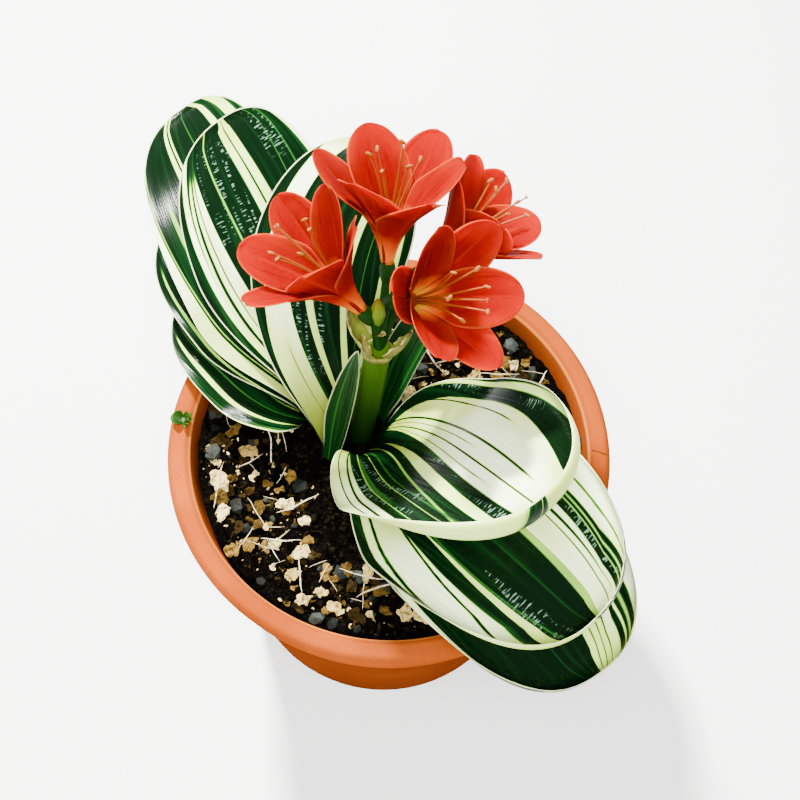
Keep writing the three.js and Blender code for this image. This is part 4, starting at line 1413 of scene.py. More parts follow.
# ---------------- flower stalk
@dataclass(frozen=True)
class StalkSkin(Skin):
    """The smooth, fresh green skin of the stalk, darker at its foot."""

    HEIGHTS = (
        (0.0, (0.0012, 0.009, 0.0008)), (0.4, (0.006, 0.028, 0.001)),
        (0.8, (0.018, 0.058, 0.001)), (1.0, (0.03, 0.075, 0.0015)),
    )
    PEDICEL = ((0.002, 0.014, 0.0012), (0.005, 0.028, 0.002))
    BUD = (
        (0.0, (0.03, 0.08, 0.004)), (0.5, (0.09, 0.13, 0.004)),
        (0.8, (0.11, 0.1, 0.004)), (1.0, (0.12, 0.02, 0.003)),
    )
    BUD_RIB = (0.04, 0.09, 0.008)

    def sockets(self, s: Surface) -> dict[str, object]:
        """What feeds the shader; the attribute "mark" is 1 on pedicels and 2 on the bud.

        Args:
            s: the material.

        Returns:
            What feeds each socket, by its name.
        """
        x, y, z = s.axes(s.place())
        mark = s.attribute("mark")
        across, along = s.flow()
        grain = s.strokes(x * 900, y * 900, z * 60)
        tone = s.ramp(z.rise(0.18, 0.285) + (grain - 0.5) * 0.12, self.HEIGHTS)
        tone = s.mix(mark.rise(0.5, 1.0), tone, s.mix(grain, *self.PEDICEL))
        ribs = (across * TURN * 6).sine() * 0.5 + 0.5
        bud = s.ramp(along + (grain - 0.5) * 0.1, self.BUD)
        bud = s.mix(ribs.fall(0.0, 0.35) * 0.5, bud, self.BUD_RIB)
        return {
            "Base Color": s.mix(mark.rise(1.5, 2.0), tone, bud),
            "Roughness": 0.5 + 0.12 * grain,
            "Specular IOR Level": 0.06,
            "Normal": s.bump(grain, 0.0003, 0.25),
        }


@dataclass(frozen=True)
class SpatheSkin(Skin):
    """The papery, drying skin of the bracts."""

    PAPER = (
        (0.28, (0.03, 0.024, 0.002)), (0.42, (0.07, 0.07, 0.005)),
        (0.55, (0.15, 0.14, 0.018)), (0.75, (0.32, 0.27, 0.07)),
    )
    FRESH = (0.14, 0.2, 0.012)
    DRY = ((0.12, 0.06, 0.01), (0.45, 0.36, 0.14))

    def sockets(self, s: Surface) -> dict[str, object]:
        """What feeds the shader; the attribute "mark" is the distance from the margin.

        Args:
            s: the material.

        Returns:
            What feeds each socket, by its name.
        """
        across, along = s.flow()
        under, distance = s.sides()
        veins = s.strokes(across * 22, along * 1.6, rough=0.6)
        cloud = s.noise(s.place(), 210.0, 3.0)
        tone = s.ramp(veins * 0.5 + cloud * 0.5, self.PAPER)
        tone = s.mix(under * 0.5 * along.fall(0.3, 0.9), tone, self.FRESH)
        dry = s.mix(cloud.rise(0.42, 0.55), *self.DRY)
        return {
            "Base Color": s.mix(distance.fall(0.35, 0.9) * 0.85, tone, dry),
            "Roughness": 0.6 + 0.2 * veins,
            "Normal": s.bump(veins, 0.0006, 0.6),
        }


@dataclass
class Umbel:
    """The flower stalk with its pedicels, ovaries, closed bud and papery bracts."""

    bud_foot: Place = (-9.0, 15.8, 296.5)
    bud_tip: Place = (-9.7, 23.5, 309.0)
    bud_radius: float = 3.5
    bracts: tuple[tuple[float, Place, float], ...] = (
        (168.0, (-24.0, 19.5, 303.0), 8.2),
        (-25.0, (7.0, 12.5, 299.0), 8.2),
        (228.0, (-15.2, 11.0, 296.0), 4.6),
    )  # the compass direction of each, the place of its tip, and half its width
    bract_drop: float = 3.5
    bract_seed: int = 70
    bracteole: Leaflet = field(default_factory=lambda: Leaflet(-35, 52, 5.6, 1.7, 1.3))
    bracteole_root: Place = (-8.2, 12.6, 293.6)

    OVARY = ((0, 2.1), (1.0, 2.6), (3.0, 3.3), (5.5, 3.8), (8.0, 3.9), (10.0, 3.5), (11.7, 3.0))
    OVARY_LENGTH = 12
    PEDICEL = ((0, 0.3, 0.6, 1), (2.6, 2.2, 2.1, 2.6))  # shares of its length, and radii there
    BUD_OUTLINE = ((0, 0.12, 0.42, 0.72, 0.95, 1), (0.3, 0.6, 1, 0.8, 0.3, 0.08))
    SLEEVE = ((0.945, 0.3), (0.945, 1.1), (0.979, 1.4), (0.979, 0.3))  # share of the stalk, margin

    def stalk(self, shape: Shape) -> None:
        """Adds the flattened stalk, with a slight bow at its edges.

        Args:
            shape: where it goes.
        """
        t = np.linspace(0, 1, 40)
        radii = SCAPE_HALF[0] * blend(1, 0.985, np.sin(t * 9) ** 2)
        radii[-2:] *= np.array([0.97, 0.9])
        way = UMBEL - SCAPE_FOOT
        flat = SCAPE_HALF[1] / SCAPE_HALF[0]
        add_rod(shape, SCAPE_FOOT + way * t[:, None], unit(way), radii, 48, flat, ribs=(14, 0.008))

    def pedicel(self, shape: Shape, flower: Flower) -> None:
        """Adds one pedicel with its ovary.

        Args:
            shape: where it goes.
            flower: the flower that it bears.
        """
        top, end = flower.spot(-11.0), flower.spot(-8.0)
        bow = blend(UMBEL + [0, 0, -1.5], top, 0.55) + [0, 0, 3]
        places, ahead = along_line(np.array([UMBEL + [0, 0, -1.5], bow, top, end]), 22)
        radii = np.interp(np.linspace(0, 1, 22), *self.PEDICEL)
        add_rod(shape, places, ahead, radii, 14, mark=1.0)
        heights, radii = np.array(self.OVARY).T
        places = flower.spot(heights - self.OVARY_LENGTH)
        add_rod(shape, places, flower.axis, radii, 24, mark=1.0, ribs=(3, 0.05))

    def bud(self, shape: Shape) -> None:
        """Adds the closed bud on its pedicel.

        Args:
            shape: where it goes.
        """
        foot, tip, root = np.array(self.bud_foot), np.array(self.bud_tip), UMBEL + [0, 1, -5]
        axis = unit(tip - foot)
        bend = blend(root, foot, 0.5) + [0.6, -0.4, 0]
        places, ahead = along_line(np.array([root, bend, foot + axis]), 14)
        add_rod(shape, places, ahead, np.linspace(2.0, 1.8, 14), 12, mark=1.0)
        h = np.linspace(0, 1, 18)
        places = foot + axis * (h * np.linalg.norm(tip - foot))[:, None]
        radii = np.interp(h, *self.BUD_OUTLINE) * self.bud_radius
        add_rod(shape, places, axis, radii, 36, mark=2.0, ribs=(6, 0.06))

    def build_stalk(self) -> None:
        """Builds the stalk, the pedicels and the bud as one piece."""
        shape = Shape()
        self.stalk(shape)
        for flower in FLOWERS:
            self.pedicel(shape, flower)
        self.bud(shape)
        shape.make("flower_stalk", [StalkSkin("Flower stalk").material()], "scape")

    def bract(self, shape: Shape, turn: float, tip: Array, half: float, seed: int) -> None:
        """Adds one boat-shaped bract.

        Args:
            shape: where it goes.
            turn: the compass direction that it leans to.
            tip: the place of its tip.
            half: half its width.
            seed: the draws for its waves.
        """
        random = np.random.default_rng(seed)
        outward = toward(turn, 0.0)
        reach = np.array(SCAPE_HALF) + GAP + 0.55
        foot = UMBEL + [*(reach * outward[:2]), -self.bract_drop]
        bend = blend(foot, tip, 0.4) + outward * 3
        t = np.linspace(0, 0.998, 30)[:, None]
        v = np.linspace(-1, 1, 17)[None]
        line = (1 - t) ** 2 * foot + 2 * t * (1 - t) * bend + t**2 * tip
        along = unit(2 * (1 - t) * (bend - foot) + 2 * t * (tip - bend))
        beside = unit(np.cross(outward, along))
        face = unit(np.cross(along, beside))
        width = half * np.sqrt(1 - t**2.5) * blend(0.95, 1, smooth(2 * t))
        girth = blend(SCAPE_HALF[0], 1.05 * half, t)
        angle = width * v / girth
        inward = np.where((face @ outward)[:, None] > 0, -1.0, 1.0)
        phase = random.uniform(0, TURN, 2)
        wave = 0.5 * np.sin(9 * t + phase[0]) * v**2
        wave = (wave + 0.35 * np.sin(17 * t * v + phase[1]) * abs(v)) * smooth(t / 0.4)
        depth = inward * girth * (1 - np.cos(angle)) + wave
        points = line[:, None] + beside[:, None] * (girth * np.sin(angle))[..., None]
        points = points + face[:, None] * depth[..., None]
        rim = width * (1 - abs(v)) + 0 * t
        thick = blend(0.2, 0.3, smooth(rim / 2))
        add_panel(shape, points, lie_of(points), thick, (v, t), np.minimum(rim, RIM_LIMIT))

    def build_spathe(self) -> None:
        """Builds the bracts, the bracteole and the sleeve that the bracts rise from."""
        shape = Shape()
        for number, (turn, tip, half) in enumerate(self.bracts):
            self.bract(shape, turn, np.array(tip), half, self.bract_seed + number)
        self.bracteole.add(shape, np.array(self.bracteole_root))
        angle = circle(48)
        rings = []
        for t, margin in (*self.SLEEVE, self.SLEEVE[0]):
            a, b = SCAPE_HALF[0] + margin, SCAPE_HALF[1] + margin
            ring = np.stack([a * np.cos(angle), b * np.sin(angle), 0 * angle], -1)
            rings.append(SCAPE_FOOT + (UMBEL - SCAPE_FOOT) * t + ring)
        shape.tube(np.array(rings), np.linspace(0, 0.3, 5), 1.0)
        shape.make("spathe_bracts", [SpatheSkin("Papery bract").material()], "spathe")


# ---------------- seedling
@dataclass(frozen=True)
class SeedlingSkin(Skin):
    """The fresh green of the seedling, pale round the seed leaf and at the small leaves' tips."""

    GREENS = (
        (0.0, (0.0015, 0.009, 0.0004)), (0.5, (0.005, 0.026, 0.0008)),
        (0.8, (0.009, 0.04, 0.0015)), (1.0, (0.03, 0.07, 0.006)),
    )
    MARGIN = (0.04, 0.09, 0.008)

    def sockets(self, s: Surface) -> dict[str, object]:
        """What feeds the shader; the attribute "mark" is the distance from a pale margin.

        Args:
            s: the material.

        Returns:
            What feeds each socket, by its name.
        """
        grain = s.noise(s.place(), 700.0)
        tone = s.ramp(s.flow()[1] + (grain - 0.5) * 0.3, self.GREENS)
        return {
            "Base Color": s.mix(s.sides()[1].fall(0.15, 0.5) * 0.3, tone, self.MARGIN),
            "Roughness": 0.42 + 0.15 * grain,
            "Specular IOR Level": 0.1,
            "Normal": s.bump(grain, 0.0004, 0.5),
        }


@dataclass
class Seedling:
    """A tiny seedling on the rim: a round, cupped seed leaf and a fringe of small pointed ones."""

    place: Place = (-111.0, 3.5, 200.3)
    seed_leaf: Leaflet = field(default_factory=lambda: Leaflet(176, 14, 7.6, 4.2, 2.4))
    fringe: int = 7

    STEM = ((0, 1.9), (1.0, 1.8), (2.4, 1.5))  # heights and radii
    LEAVES_FROM = (0, 0, 1.4)

    def build(self) -> None:
        """Builds the seedling."""
        shape = Shape()
        foot, up = np.array(self.place), np.array([0, 0, 1.0])
        heights, radii = np.array(self.STEM).T
        add_rod(shape, foot + up * heights[:, None], up, radii, 16)
        self.seed_leaf.add(shape, foot + self.LEAVES_FROM)
        for k in range(self.fringe):
            lift = blend(18.0, 62.0, (k * 0.4) % 1)
            Leaflet(-78 + 26 * k, lift, 5.6, 1.1, 0.3, 0.1).add(shape, foot + self.LEAVES_FROM)
        skin = SeedlingSkin("Seedling").material()
        shape.make("seedling_rosette", [skin], "seedling")


# ---------------- pot
@dataclass(frozen=True)
class TerracottaSkin(Skin):
    """Fired clay: orange, mottled, with a hairline crack; a painted highlight along the rim's inner
    edge, and painted shade on the inside wall and on the body below the band.
    """

    CLAY = ((0.3, (0.17, 0.028, 0.002)), (0.5, (0.25, 0.046, 0.005)), (0.7, (0.35, 0.076, 0.011)))
    # painted highlight: the pale colour along the rim's inner top edge
    RIM_HIGHLIGHT = (0.68, 0.24, 0.045)
    # painted shade: the dark colour of the inside wall below the rim
    INNER_WALL_SHADE = (0.1, 0.016, 0.004)
    SPECK = (0.08, 0.016, 0.004)
    # painted shade: the darker clay of the body below the band
    BODY_SHADE = (0.055, 0.0095, 0.0022)
    CRACK = (0.012, 0.003, 0.001)
    CRACK_PLACE = (0.1085, 0.1175, 0.0038)  # from and to along X, and its place along Y

    def sockets(self, s: Surface) -> dict[str, object]:
        """What feeds the shader, in metres from the middle of the pot.

        Args:
            s: the material.

        Returns:
            What feeds each socket, by its name.
        """
        place = s.place()
        x, y, z = s.axes(place)
        cloud = s.noise(place, 16.0, 4.0, 0.6)
        grain = s.noise(place, 900.0, 3.0, 0.7)
        rings = s.strokes(0.0, 0.0, z * 260)
        tone = s.ramp(cloud * 0.6 + grain * 0.25 + rings * 0.15, self.CLAY)
        radius = (x * x + y * y) ** 0.5
        # painted highlight along the inner top edge of the rim
        edge = radius.rise(0.1085, 0.1065) * z.rise(0.196, 0.1985)
        tone = s.mix(edge * 0.8, tone, self.RIM_HIGHLIGHT)
        # painted shade on the inside wall below the rim
        inner = radius.fall(0.1045, 0.1068) * z.rise(0.17, 0.19)
        tone = s.mix(inner * 0.5, tone, self.INNER_WALL_SHADE)
        cells = s.value("ShaderNodeTexVoronoi", None, {"Vector": place, "Scale": 160.0}, "Distance")
        specks = cells.fall(0.05, 0.12) * s.noise(place, 40.0).rise(0.58, 0.66)
        tone = s.mix(specks * 0.5, tone, self.SPECK)
        # painted shade: the body below the band is darkened
        tone = s.mix(z.fall(0.168, 0.176) * 0.7, tone, self.BODY_SHADE)
        start, end, beside = self.CRACK_PLACE
        wander = s.noise(place, 420.0) - 0.5
        crack = abs(y - beside + (x - start) * 0.3 + wander * 0.0016).fall(0.00015, 0.0004)
        crack = crack * x.rise(start, start + 0.0005) * x.fall(end - 0.001, end)
        return {
            "Base Color": s.mix(crack * z.rise(0.19, 0.192) * 0.85, tone, self.CRACK),
            "Roughness": 0.62 + 0.2 * grain,
            "Normal": s.bump(grain * 0.6 + rings * 0.4, 0.0005, 0.35),
            "Specular IOR Level": 0.0,
        }


@dataclass
class Pot:
    """A round, tapered terracotta pot with a thick rim and drain holes."""

    height: float = 200.0
    rim_radius: float = 120.0
    rim_width: float = 13.0
    band: float = 27.0
    band_step: float = 5.0
    foot_radius: float = 91.0
    floor: float = 9.0
    drain_radius: float = 6.0
    drain_ring: float = 48.0
    drains: int = 4
    sides: int = 200

    ROUND = (0, 0.25, 0.5, 0.75, 1)  # shares of the way round a corner
    SPACING = 9  # the most between two rings of points
    WAVE = 0.0008  # how far it is out of round, as a share of its radius

    def inner_radius(self, z: float) -> float:
        """The radius of the wall's inside at a height."""
        share = (z - self.floor) / (self.height - self.floor)
        return blend(self.foot_radius - 10, self.rim_radius - self.rim_width - 1, share)

    def profile(self) -> list[Place]:
        """The pot's outline: radius, height, and how far a corner is rounded.

        Returns:
            The corners, from the foot to the floor inside.
        """
        band_foot = self.height - self.band
        wall_top = self.rim_radius - 4 - self.band_step
        inner = self.rim_radius - self.rim_width
        return [
            (self.foot_radius - 4, 0, 0.5),
            (self.foot_radius, 4, 2.0),
            (wall_top, band_foot, 1.0),
            (wall_top + self.band_step, band_foot + 2, 1.4),
            (self.rim_radius - 0.5, self.height - 4, 1.8),
            (self.rim_radius - 3.5, self.height, 1.8),
            (inner + 3, self.height, 1.2),
            (inner, self.height - 2.5, 1.2),
            (self.inner_radius(self.floor), self.floor, 2.0),
        ]

    def rounded(self) -> Array:
        """The outline with its corners rounded, from the drains below to the drains inside.

        Returns:
            Radii and heights.
        """
        corners = self.profile()
        line = [(0.0, 0.0), (self.drain_ring, 0.0)]
        points = np.array([(0.0, 0.0), *[corner[:2] for corner in corners], (0.0, self.floor)])
        for number, (_, _, cut) in enumerate(corners, 1):
            before, here, after = points[number - 1 : number + 2]
            a, b = (here + unit(side - here) * cut for side in (before, after))
            line += [(1 - t) ** 2 * a + 2 * t * (1 - t) * here + t**2 * b for t in self.ROUND]
        line += [(self.drain_ring, self.floor), (0.0, self.floor)]
        dense = []
        for a, b in zip(line, line[1:]):
            steps = max(1, int(math.dist(a, b) / self.SPACING))
            dense += [blend(np.array(a), np.array(b), k / steps) for k in range(1, steps + 1)]
        return np.array(dense[:-1])

    def build(self) -> None:
        """Builds the pot and drills its drain holes."""
        angle = circle(self.sides)
        wave = 1 + self.WAVE * np.sin(2 * angle + 0.6) - self.WAVE
        ring = np.stack([np.cos(angle) * wave, np.sin(angle) * wave], -1)
        points = lathe(self.rounded(), ring)
        shape = Shape()
        shape.tube(points)
        shape.cap(points[0], [0, 0, 0.0], True)
        shape.cap(points[-1], [0, 0, self.floor])
        skin = TerracottaSkin("Terracotta").material()
        piece = shape.make("terracotta_pot", [skin], "pot")
        weld(piece)
        for turn in circle(self.drains):
            centre = self.drain_ring * np.array([math.cos(turn), math.sin(turn)])
            drill(piece, centre, self.drain_radius, 3 * self.floor)


def bake_modifiers(piece: Piece) -> None:
    """Turns a piece with modifiers into a plain mesh.

    Args:
        piece: the piece.
    """
    bpy.context.view_layer.update()
    seen = piece.evaluated_get(bpy.context.evaluated_depsgraph_get())
    mesh = bpy.data.meshes.new_from_object(seen)
    piece.modifiers.clear()
    piece.data = mesh


def weld(piece: Piece) -> None:
    """Merges the doubles of a piece."""
    piece.modifiers.new("weld", "WELD").merge_threshold = 1e-5
    bake_modifiers(piece)


def drill(piece: Piece, centre: Array, radius: float, depth: float) -> None:
    """Cuts an upright hole through a piece, in millimetres.

    Args:
        piece: what is drilled.
        centre: where, in plan.
        radius: the hole's radius.
        depth: how long the drill is, half of it above and half below the origin.
    """
    sides = 32
    angle = circle(sides)
    ring = centre + radius * np.stack([np.cos(angle), np.sin(angle)], -1)
    points = lathe(np.array([[1.0, -depth / 2], [1.0, depth / 2]]), ring).reshape(-1, 3) * MM
    index = np.arange(2 * sides).reshape(2, sides)
    walls = quads(np.hstack([index, index[:, :1]])).tolist()
    mesh = bpy.data.meshes.new("drill")
    mesh.from_pydata(points.tolist(), [], [index[0, ::-1].tolist(), index[1].tolist(), *walls])
    tool = new_object("drill", mesh)
    modifier = piece.modifiers.new("drill", "BOOLEAN")
    modifier.operation = "DIFFERENCE"
    modifier.solver = "EXACT"
    modifier.object = tool
    bake_modifiers(piece)
    bpy.data.objects.remove(tool)


# ---------------- soil
@dataclass(frozen=True)
class SoilSkin(Skin):
    """Black, crumbly potting soil."""

    EARTH = (
        (0.4, (0.0006, 0.0005, 0.0004)), (0.55, (0.0015, 0.0012, 0.001)),
        (0.66, (0.006, 0.005, 0.003)), (0.76, (0.04, 0.03, 0.015)),
    )

    def sockets(self, s: Surface) -> dict[str, object]:
        """What feeds the shader.

        Args:
            s: the material.

        Returns:
            What feeds each socket, by its name.
        """
        place = s.place()
        coarse, fine = s.noise(place, 150.0, 4.0, 0.7), s.noise(place, 900.0, 3.0, 0.7)
        return {
            "Base Color": s.ramp(coarse * 0.6 + fine * 0.4, self.EARTH),
            "Roughness": 0.75 + 0.2 * fine,
            "Normal": s.bump(coarse * 0.5 + fine * 0.5, 0.0015, 0.8),
            "Specular IOR Level": 0.0,
        }


@dataclass(frozen=True)
class ChipSkin(Skin):
    """Chips or pebbles, each with a tint of its own between two colours."""

    stops: Stops
    scale: float = 420.0
    roughness: float = 0.7
    shine: float = 0.02

    PIT = (0.012, 0.008, 0.003)

    def sockets(self, s: Surface) -> dict[str, object]:
        """What feeds the shader, which reads each bit's attribute "tint".

        Args:
            s: the material.

        Returns:
            What feeds each socket, by its name.
        """
        place = s.place()
        grain = s.noise(place, self.scale, 4.0, 0.65)
        patch = s.noise(place, self.scale / 5)
        tone = s.ramp(s.attribute("tint") * 0.8 + (patch - 0.5) * 0.3 + 0.1, self.stops)
        return {
            "Base Color": s.mix(grain.fall(0.34, 0.52) * 0.7, tone, self.PIT),
            "Roughness": self.roughness + 0.15 * grain,
            "Specular IOR Level": self.shine,
            "Normal": s.bump(grain, 0.0008, 0.6),
        }


class Grain(Enum):
    """What a scattered bit of the soil is: its length, width and height as shares of its size."""

    CRUMB = (1.0, 0.9, 0.7)
    PEBBLE = (1.0, 0.8, 0.6)
    CHIP = (1.0, 0.68, 0.14)
    STRAW = (1.0, 0.03, 0.03)


@dataclass
class Scatter:
    """Bits of one kind that lie scattered on the soil."""

    name: str
    grain: Grain
    density: float  # a square metre
    sizes: Step  # half the length, least and most, in millimetres
    skin: ChipSkin
    seed: int
    rough: float  # how ragged, as a share of the size
    detail: int = 1  # how finely each bit is faceted
    sink: float = 0.15
    tilt: float = 25.0
    grit: float = 0.9  # how closely its ragged edges follow each other
    clear: float = 4.0  # kept free along the wall, in millimetres
    apart: float = 0.0  # the least distance between two bits, in millimetres
    bias: float = 2.2  # how much the small sizes outnumber the large ones

    def tree(self) -> bpy.types.NodeTree:
        """Builds the tree of nodes that lays the bits on a surface.

        Returns:
            The tree, with named inputs for its sizes.
        """
        tree = bpy.data.node_groups.new(f"{self.name} scatter", "GeometryNodeTree")
        face = tree.interface
        face.new_socket("Surface", in_out="INPUT", socket_type="NodeSocketGeometry")
        for name in ("Density", "Smallest", "Largest", "Raggedness"):
            face.new_socket(name, in_out="INPUT", socket_type="NodeSocketFloat")
        face.new_socket("Bits", in_out="OUTPUT", socket_type="NodeSocketGeometry")
        w = Weaver(tree)
        given = w.node("NodeGroupInput").outputs

        def draw(seed: int) -> Field:
            """A random number from 0 to 1 for each bit.

            Args:
                seed: its seed.

            Returns:
                The number.
            """
            inputs = {"Min": 0.0, "Max": 1.0, "Seed": seed}
            made = w.node("FunctionNodeRandomValue", {"data_type": "FLOAT"}, inputs)
            return Field(w, next(o for o in made.outputs if o.type == "VALUE" and o.enabled))

        spread = {"Mesh": given["Surface"], "Seed": self.seed}
        if self.apart:
            settings = {"distribute_method": "POISSON"}
            spread |= {"Density Max": given["Density"], "Distance Min": self.apart * MM}
        else:
            settings = {"distribute_method": "RANDOM"}
            spread |= {"Density": given["Density"]}
        points = w.node("GeometryNodeDistributePointsOnFaces", settings, spread)
        smallest, largest = Field(w, given["Smallest"]), Field(w, given["Largest"])
        size = smallest + draw(self.seed + 1) ** self.bias * (largest - smallest)
        lean = math.radians(self.tilt)
        turns = {"Min": (-lean, -lean, 0.0), "Max": (lean, lean, TURN), "Seed": self.seed + 2}
        spin = w.node("FunctionNodeRandomValue", {"data_type": "FLOAT_VECTOR"}, turns)
        ball = {"Radius": 1.0, "Subdivisions": self.detail}
        bit = w.node("GeometryNodeMeshIcoSphere", None, ball).outputs["Mesh"]
        form = {"Geometry": bit, "Scale": self.grain.value, "Translation": (0, 0, self.sink)}
        bit = w.node("GeometryNodeTransform", None, form).outputs[0]
        laid = {"Points": points.outputs["Points"], "Instance": bit}
        laid |= {"Rotation": spin.outputs[0], "Scale": size}
        bits = w.node("GeometryNodeInstanceOnPoints", None, laid).outputs[0]
        place = w.node("GeometryNodeInputPosition").outputs[0]
        waves = {"Vector": place, "Scale": self.grit / self.sizes[1] / MM, "Detail": 2.0}
        noise = w.node("ShaderNodeTexNoise", None, waves).outputs["Color"]
        middle = {0: noise, 1: (0.5, 0.5, 0.5)}
        push = w.node("ShaderNodeVectorMath", {"operation": "SUBTRACT"}, middle).outputs[0]
        ragged = {0: push, "Scale": given["Raggedness"]}
        push = w.node("ShaderNodeVectorMath", {"operation": "SCALE"}, ragged).outputs[0]
        each = {"data_type": "FLOAT", "domain": "INSTANCE"}
        for kind, settings, inputs in (
            ("StoreNamedAttribute", each, {"Name": "tint", "Value": draw(self.seed + 3)}),
            ("RealizeInstances", None, {}),
            ("SetPosition", None, {"Offset": push}),
            ("SetShadeSmooth", None, {"Shade Smooth": False}),
            ("SetMaterial", None, {"Material": self.skin.material()}),
        ):
            inputs = {"Geometry": bits} | inputs
            bits = w.node(f"GeometryNode{kind}", settings, inputs).outputs[0]
        w.node("NodeGroupOutput", None, {0: bits})
        return tree

    def build(self, surface: bpy.types.Mesh) -> None:
        """Scatters the bits over a mesh and turns them into one plain mesh.

        Args:
            surface: the mesh that they lie on.
        """
        piece = new_object(self.name, surface)
        modifier = piece.modifiers.new("scatter", "NODES")
        modifier.node_group = self.tree()
        values = {
            "Density": self.density,
            "Smallest": self.sizes[0] * MM,
            "Largest": self.sizes[1] * MM,
            "Raggedness": self.rough * self.sizes[1] * MM,
        }
        for item in modifier.node_group.interface.items_tree:
            if item.name in values:
                modifier[item.identifier] = float(values[item.name])
        bake_modifiers(piece)
        settle(piece, "")


BROWN_BARK = (
    (0.0, (0.006, 0.004, 0.0015)), (0.4, (0.022, 0.013, 0.003)),
    (0.75, (0.08, 0.045, 0.008)), (1.0, (0.22, 0.13, 0.025)),
)
CREAM_BARK = ((0.0, (0.25, 0.16, 0.04)), (0.4, (0.45, 0.33, 0.1)), (1.0, (0.68, 0.55, 0.25)))
GREY_STONE = (
    (0.0, (0.0015, 0.002, 0.0018)), (0.5, (0.005, 0.0075, 0.0063)),
    (1.0, (0.026, 0.032, 0.026)),
)
BLACK_CRUMB = (
    (0.0, (0.0003, 0.0003, 0.0002)), (0.6, (0.0009, 0.0007, 0.0006)),
    (0.93, (0.0035, 0.0028, 0.0018)), (1.0, (0.25, 0.2, 0.1)),
)
DRY_STRAW = ((0.0, (0.2, 0.14, 0.05)), (0.4, (0.5, 0.42, 0.24)), (1.0, (0.8, 0.76, 0.6)))
LITTER = (
    Scatter("soil_crumbs", Grain.CRUMB, 150000, (0.5, 2.3),
            ChipSkin("Soil crumb", BLACK_CRUMB, shine=0.0), 21, 0.6, clear=2.0),
    Scatter("soil_pebbles", Grain.PEBBLE, 9000, (1.8, 6.2),
            ChipSkin("Grey pebble", GREY_STONE, 300.0, 0.5, 0.12), 31, 0.5, clear=2.5, apart=7.0),
    Scatter("bark_brown", Grain.CHIP, 16000, (1.6, 5.6),
            ChipSkin("Bark, brown", BROWN_BARK), 41, 1.5, 3, 0.6, grit=1.6, clear=3.5, apart=5.5),
    Scatter("bark_cream", Grain.CHIP, 5200, (1.4, 6.8),
            ChipSkin("Bark, cream", CREAM_BARK), 51, 1.1, 3, 0.8, grit=2.4, clear=5.0, apart=9.0),
    Scatter("soil_flecks", Grain.CHIP, 16000, (0.4, 1.5),
            ChipSkin("Bark fleck", CREAM_BARK), 71, 0.8, 1, 0.5, grit=1.5, clear=3.0),
    Scatter("soil_straws", Grain.STRAW, 4800, (3.5, 13.5),
            ChipSkin("Dry straw", DRY_STRAW), 61, 0.7, 3, 1.6, 8.0, 0.5, 11.0, bias=1.3),
)


@dataclass
class Soil:
    """The soil that fills the pot, its rise to the brim, and what lies scattered on it."""

    pot: Pot
    rings: int = 150
    sides: int = 380
    seed: int = 5
    brim: tuple[Step, ...] = ((66.0, 0.0), (84.0, 3.0), (97.0, 7.0), (104.0, 8.0))

    # span, depth and count of the waves of its surface
    WAVES = ((60.0, 1.4, 5), (17.0, 1.1, 14), (6.5, 0.75, 26), (3.6, 0.45, 30))
    MOUND = (2.2, 30)  # its height and reach round the neck
    BED = (40, 90)  # rings and sides of the surface that bits lie on
    BARE = ((-22.0, 9.0, 36.0), (-16.0, -40.0, 25.0))  # round places with no chips: X, Y and radius

    def relief(self, x: Array, y: Array) -> Array:
        """The height of the surface over its level, as a sum of waves.

        Args:
            x: places along X.
            y: places along Y.

        Returns:
            The heights there.
        """
        random = np.random.default_rng(self.seed)
        height = np.zeros_like(x)
        for span, depth, count in self.WAVES:
            for _ in range(count):
                turn, phase = random.uniform(0, TURN, 2)
                k = TURN / span * random.uniform(0.7, 1.4)
                way = x * math.cos(turn) + y * math.sin(turn)
                height += depth / math.sqrt(count) * np.sin(k * way + phase)
        mound = self.MOUND[0] * np.exp(-((np.hypot(x - NECK[0], y - NECK[1]) / self.MOUND[1]) ** 2))
        rise = np.interp(np.hypot(x, y), *zip((0.0, 0.0), *self.brim))
        return rise + height - 0.6 + mound

    def ground(self, radii: Array, sides: int) -> Array:
        """Places on the surface, in rings.

        Args:
            radii: the radius of each ring.
            sides: the points in a ring.

        Returns:
            Rings x sides x 3.
        """
        angle = circle(sides)
        x, y = radii[:, None] * np.cos(angle), radii[:, None] * np.sin(angle)
        return np.stack([x, y, SOIL_TOP + self.relief(x, y)], -1)

    def build(self) -> None:
        """Builds the soil and everything on it."""
        top_edge, low = SOIL_TOP + self.brim[-1][1], self.pot.floor + GAP
        edge = self.pot.inner_radius(top_edge - 2) - GAP
        angle = circle(self.sides)
        wall = np.array([[edge - 0.4, top_edge - 5], [self.pot.inner_radius(low) - GAP, low]])
        wall = lathe(wall, np.stack([np.cos(angle), np.sin(angle)], -1))
        radii = np.linspace(0, 1, self.rings)[1:] ** 0.8 * edge
        points = np.concatenate([self.ground(radii, self.sides), wall])
        shape = Shape()
        shape.tube(points[:, ::-1])
        shape.cap(points[0], self.ground(np.zeros(1), 1)[0, 0])
        shape.cap(points[-1], [0, 0, low], True)
        weld(shape.make("soil_bed", [SoilSkin("Potting soil").material()], "soil"))
        for kind in LITTER:
            kind.build(self.bed(kind.clear))

    def bed(self, clear: float) -> bpy.types.Mesh:
        """The surface that bits may lie on, up to a distance from the wall.

        Args:
            clear: that distance.

        Returns:
            The mesh.
        """
        rings, sides = self.BED
        reach = self.pot.inner_radius(SOIL_TOP + self.brim[-1][1]) - clear
        free = Shape()
        free.tube(self.ground(np.linspace(0.0, reach, rings)[1:], sides)[:, ::-1])
        spots, faces = free.points[0], free.faces[0]
        for x, y, bare in self.BARE:
            middles = spots[faces].mean(1)[:, :2]
            away = np.hypot(middles[:, 0] - x, middles[:, 1] - y)
            faces = faces[away > bare * smooth((clear - 2) / 0.5)]
        mesh = bpy.data.meshes.new("bed")
        mesh.from_pydata((spots * MM).tolist(), [], faces.tolist())
        return mesh


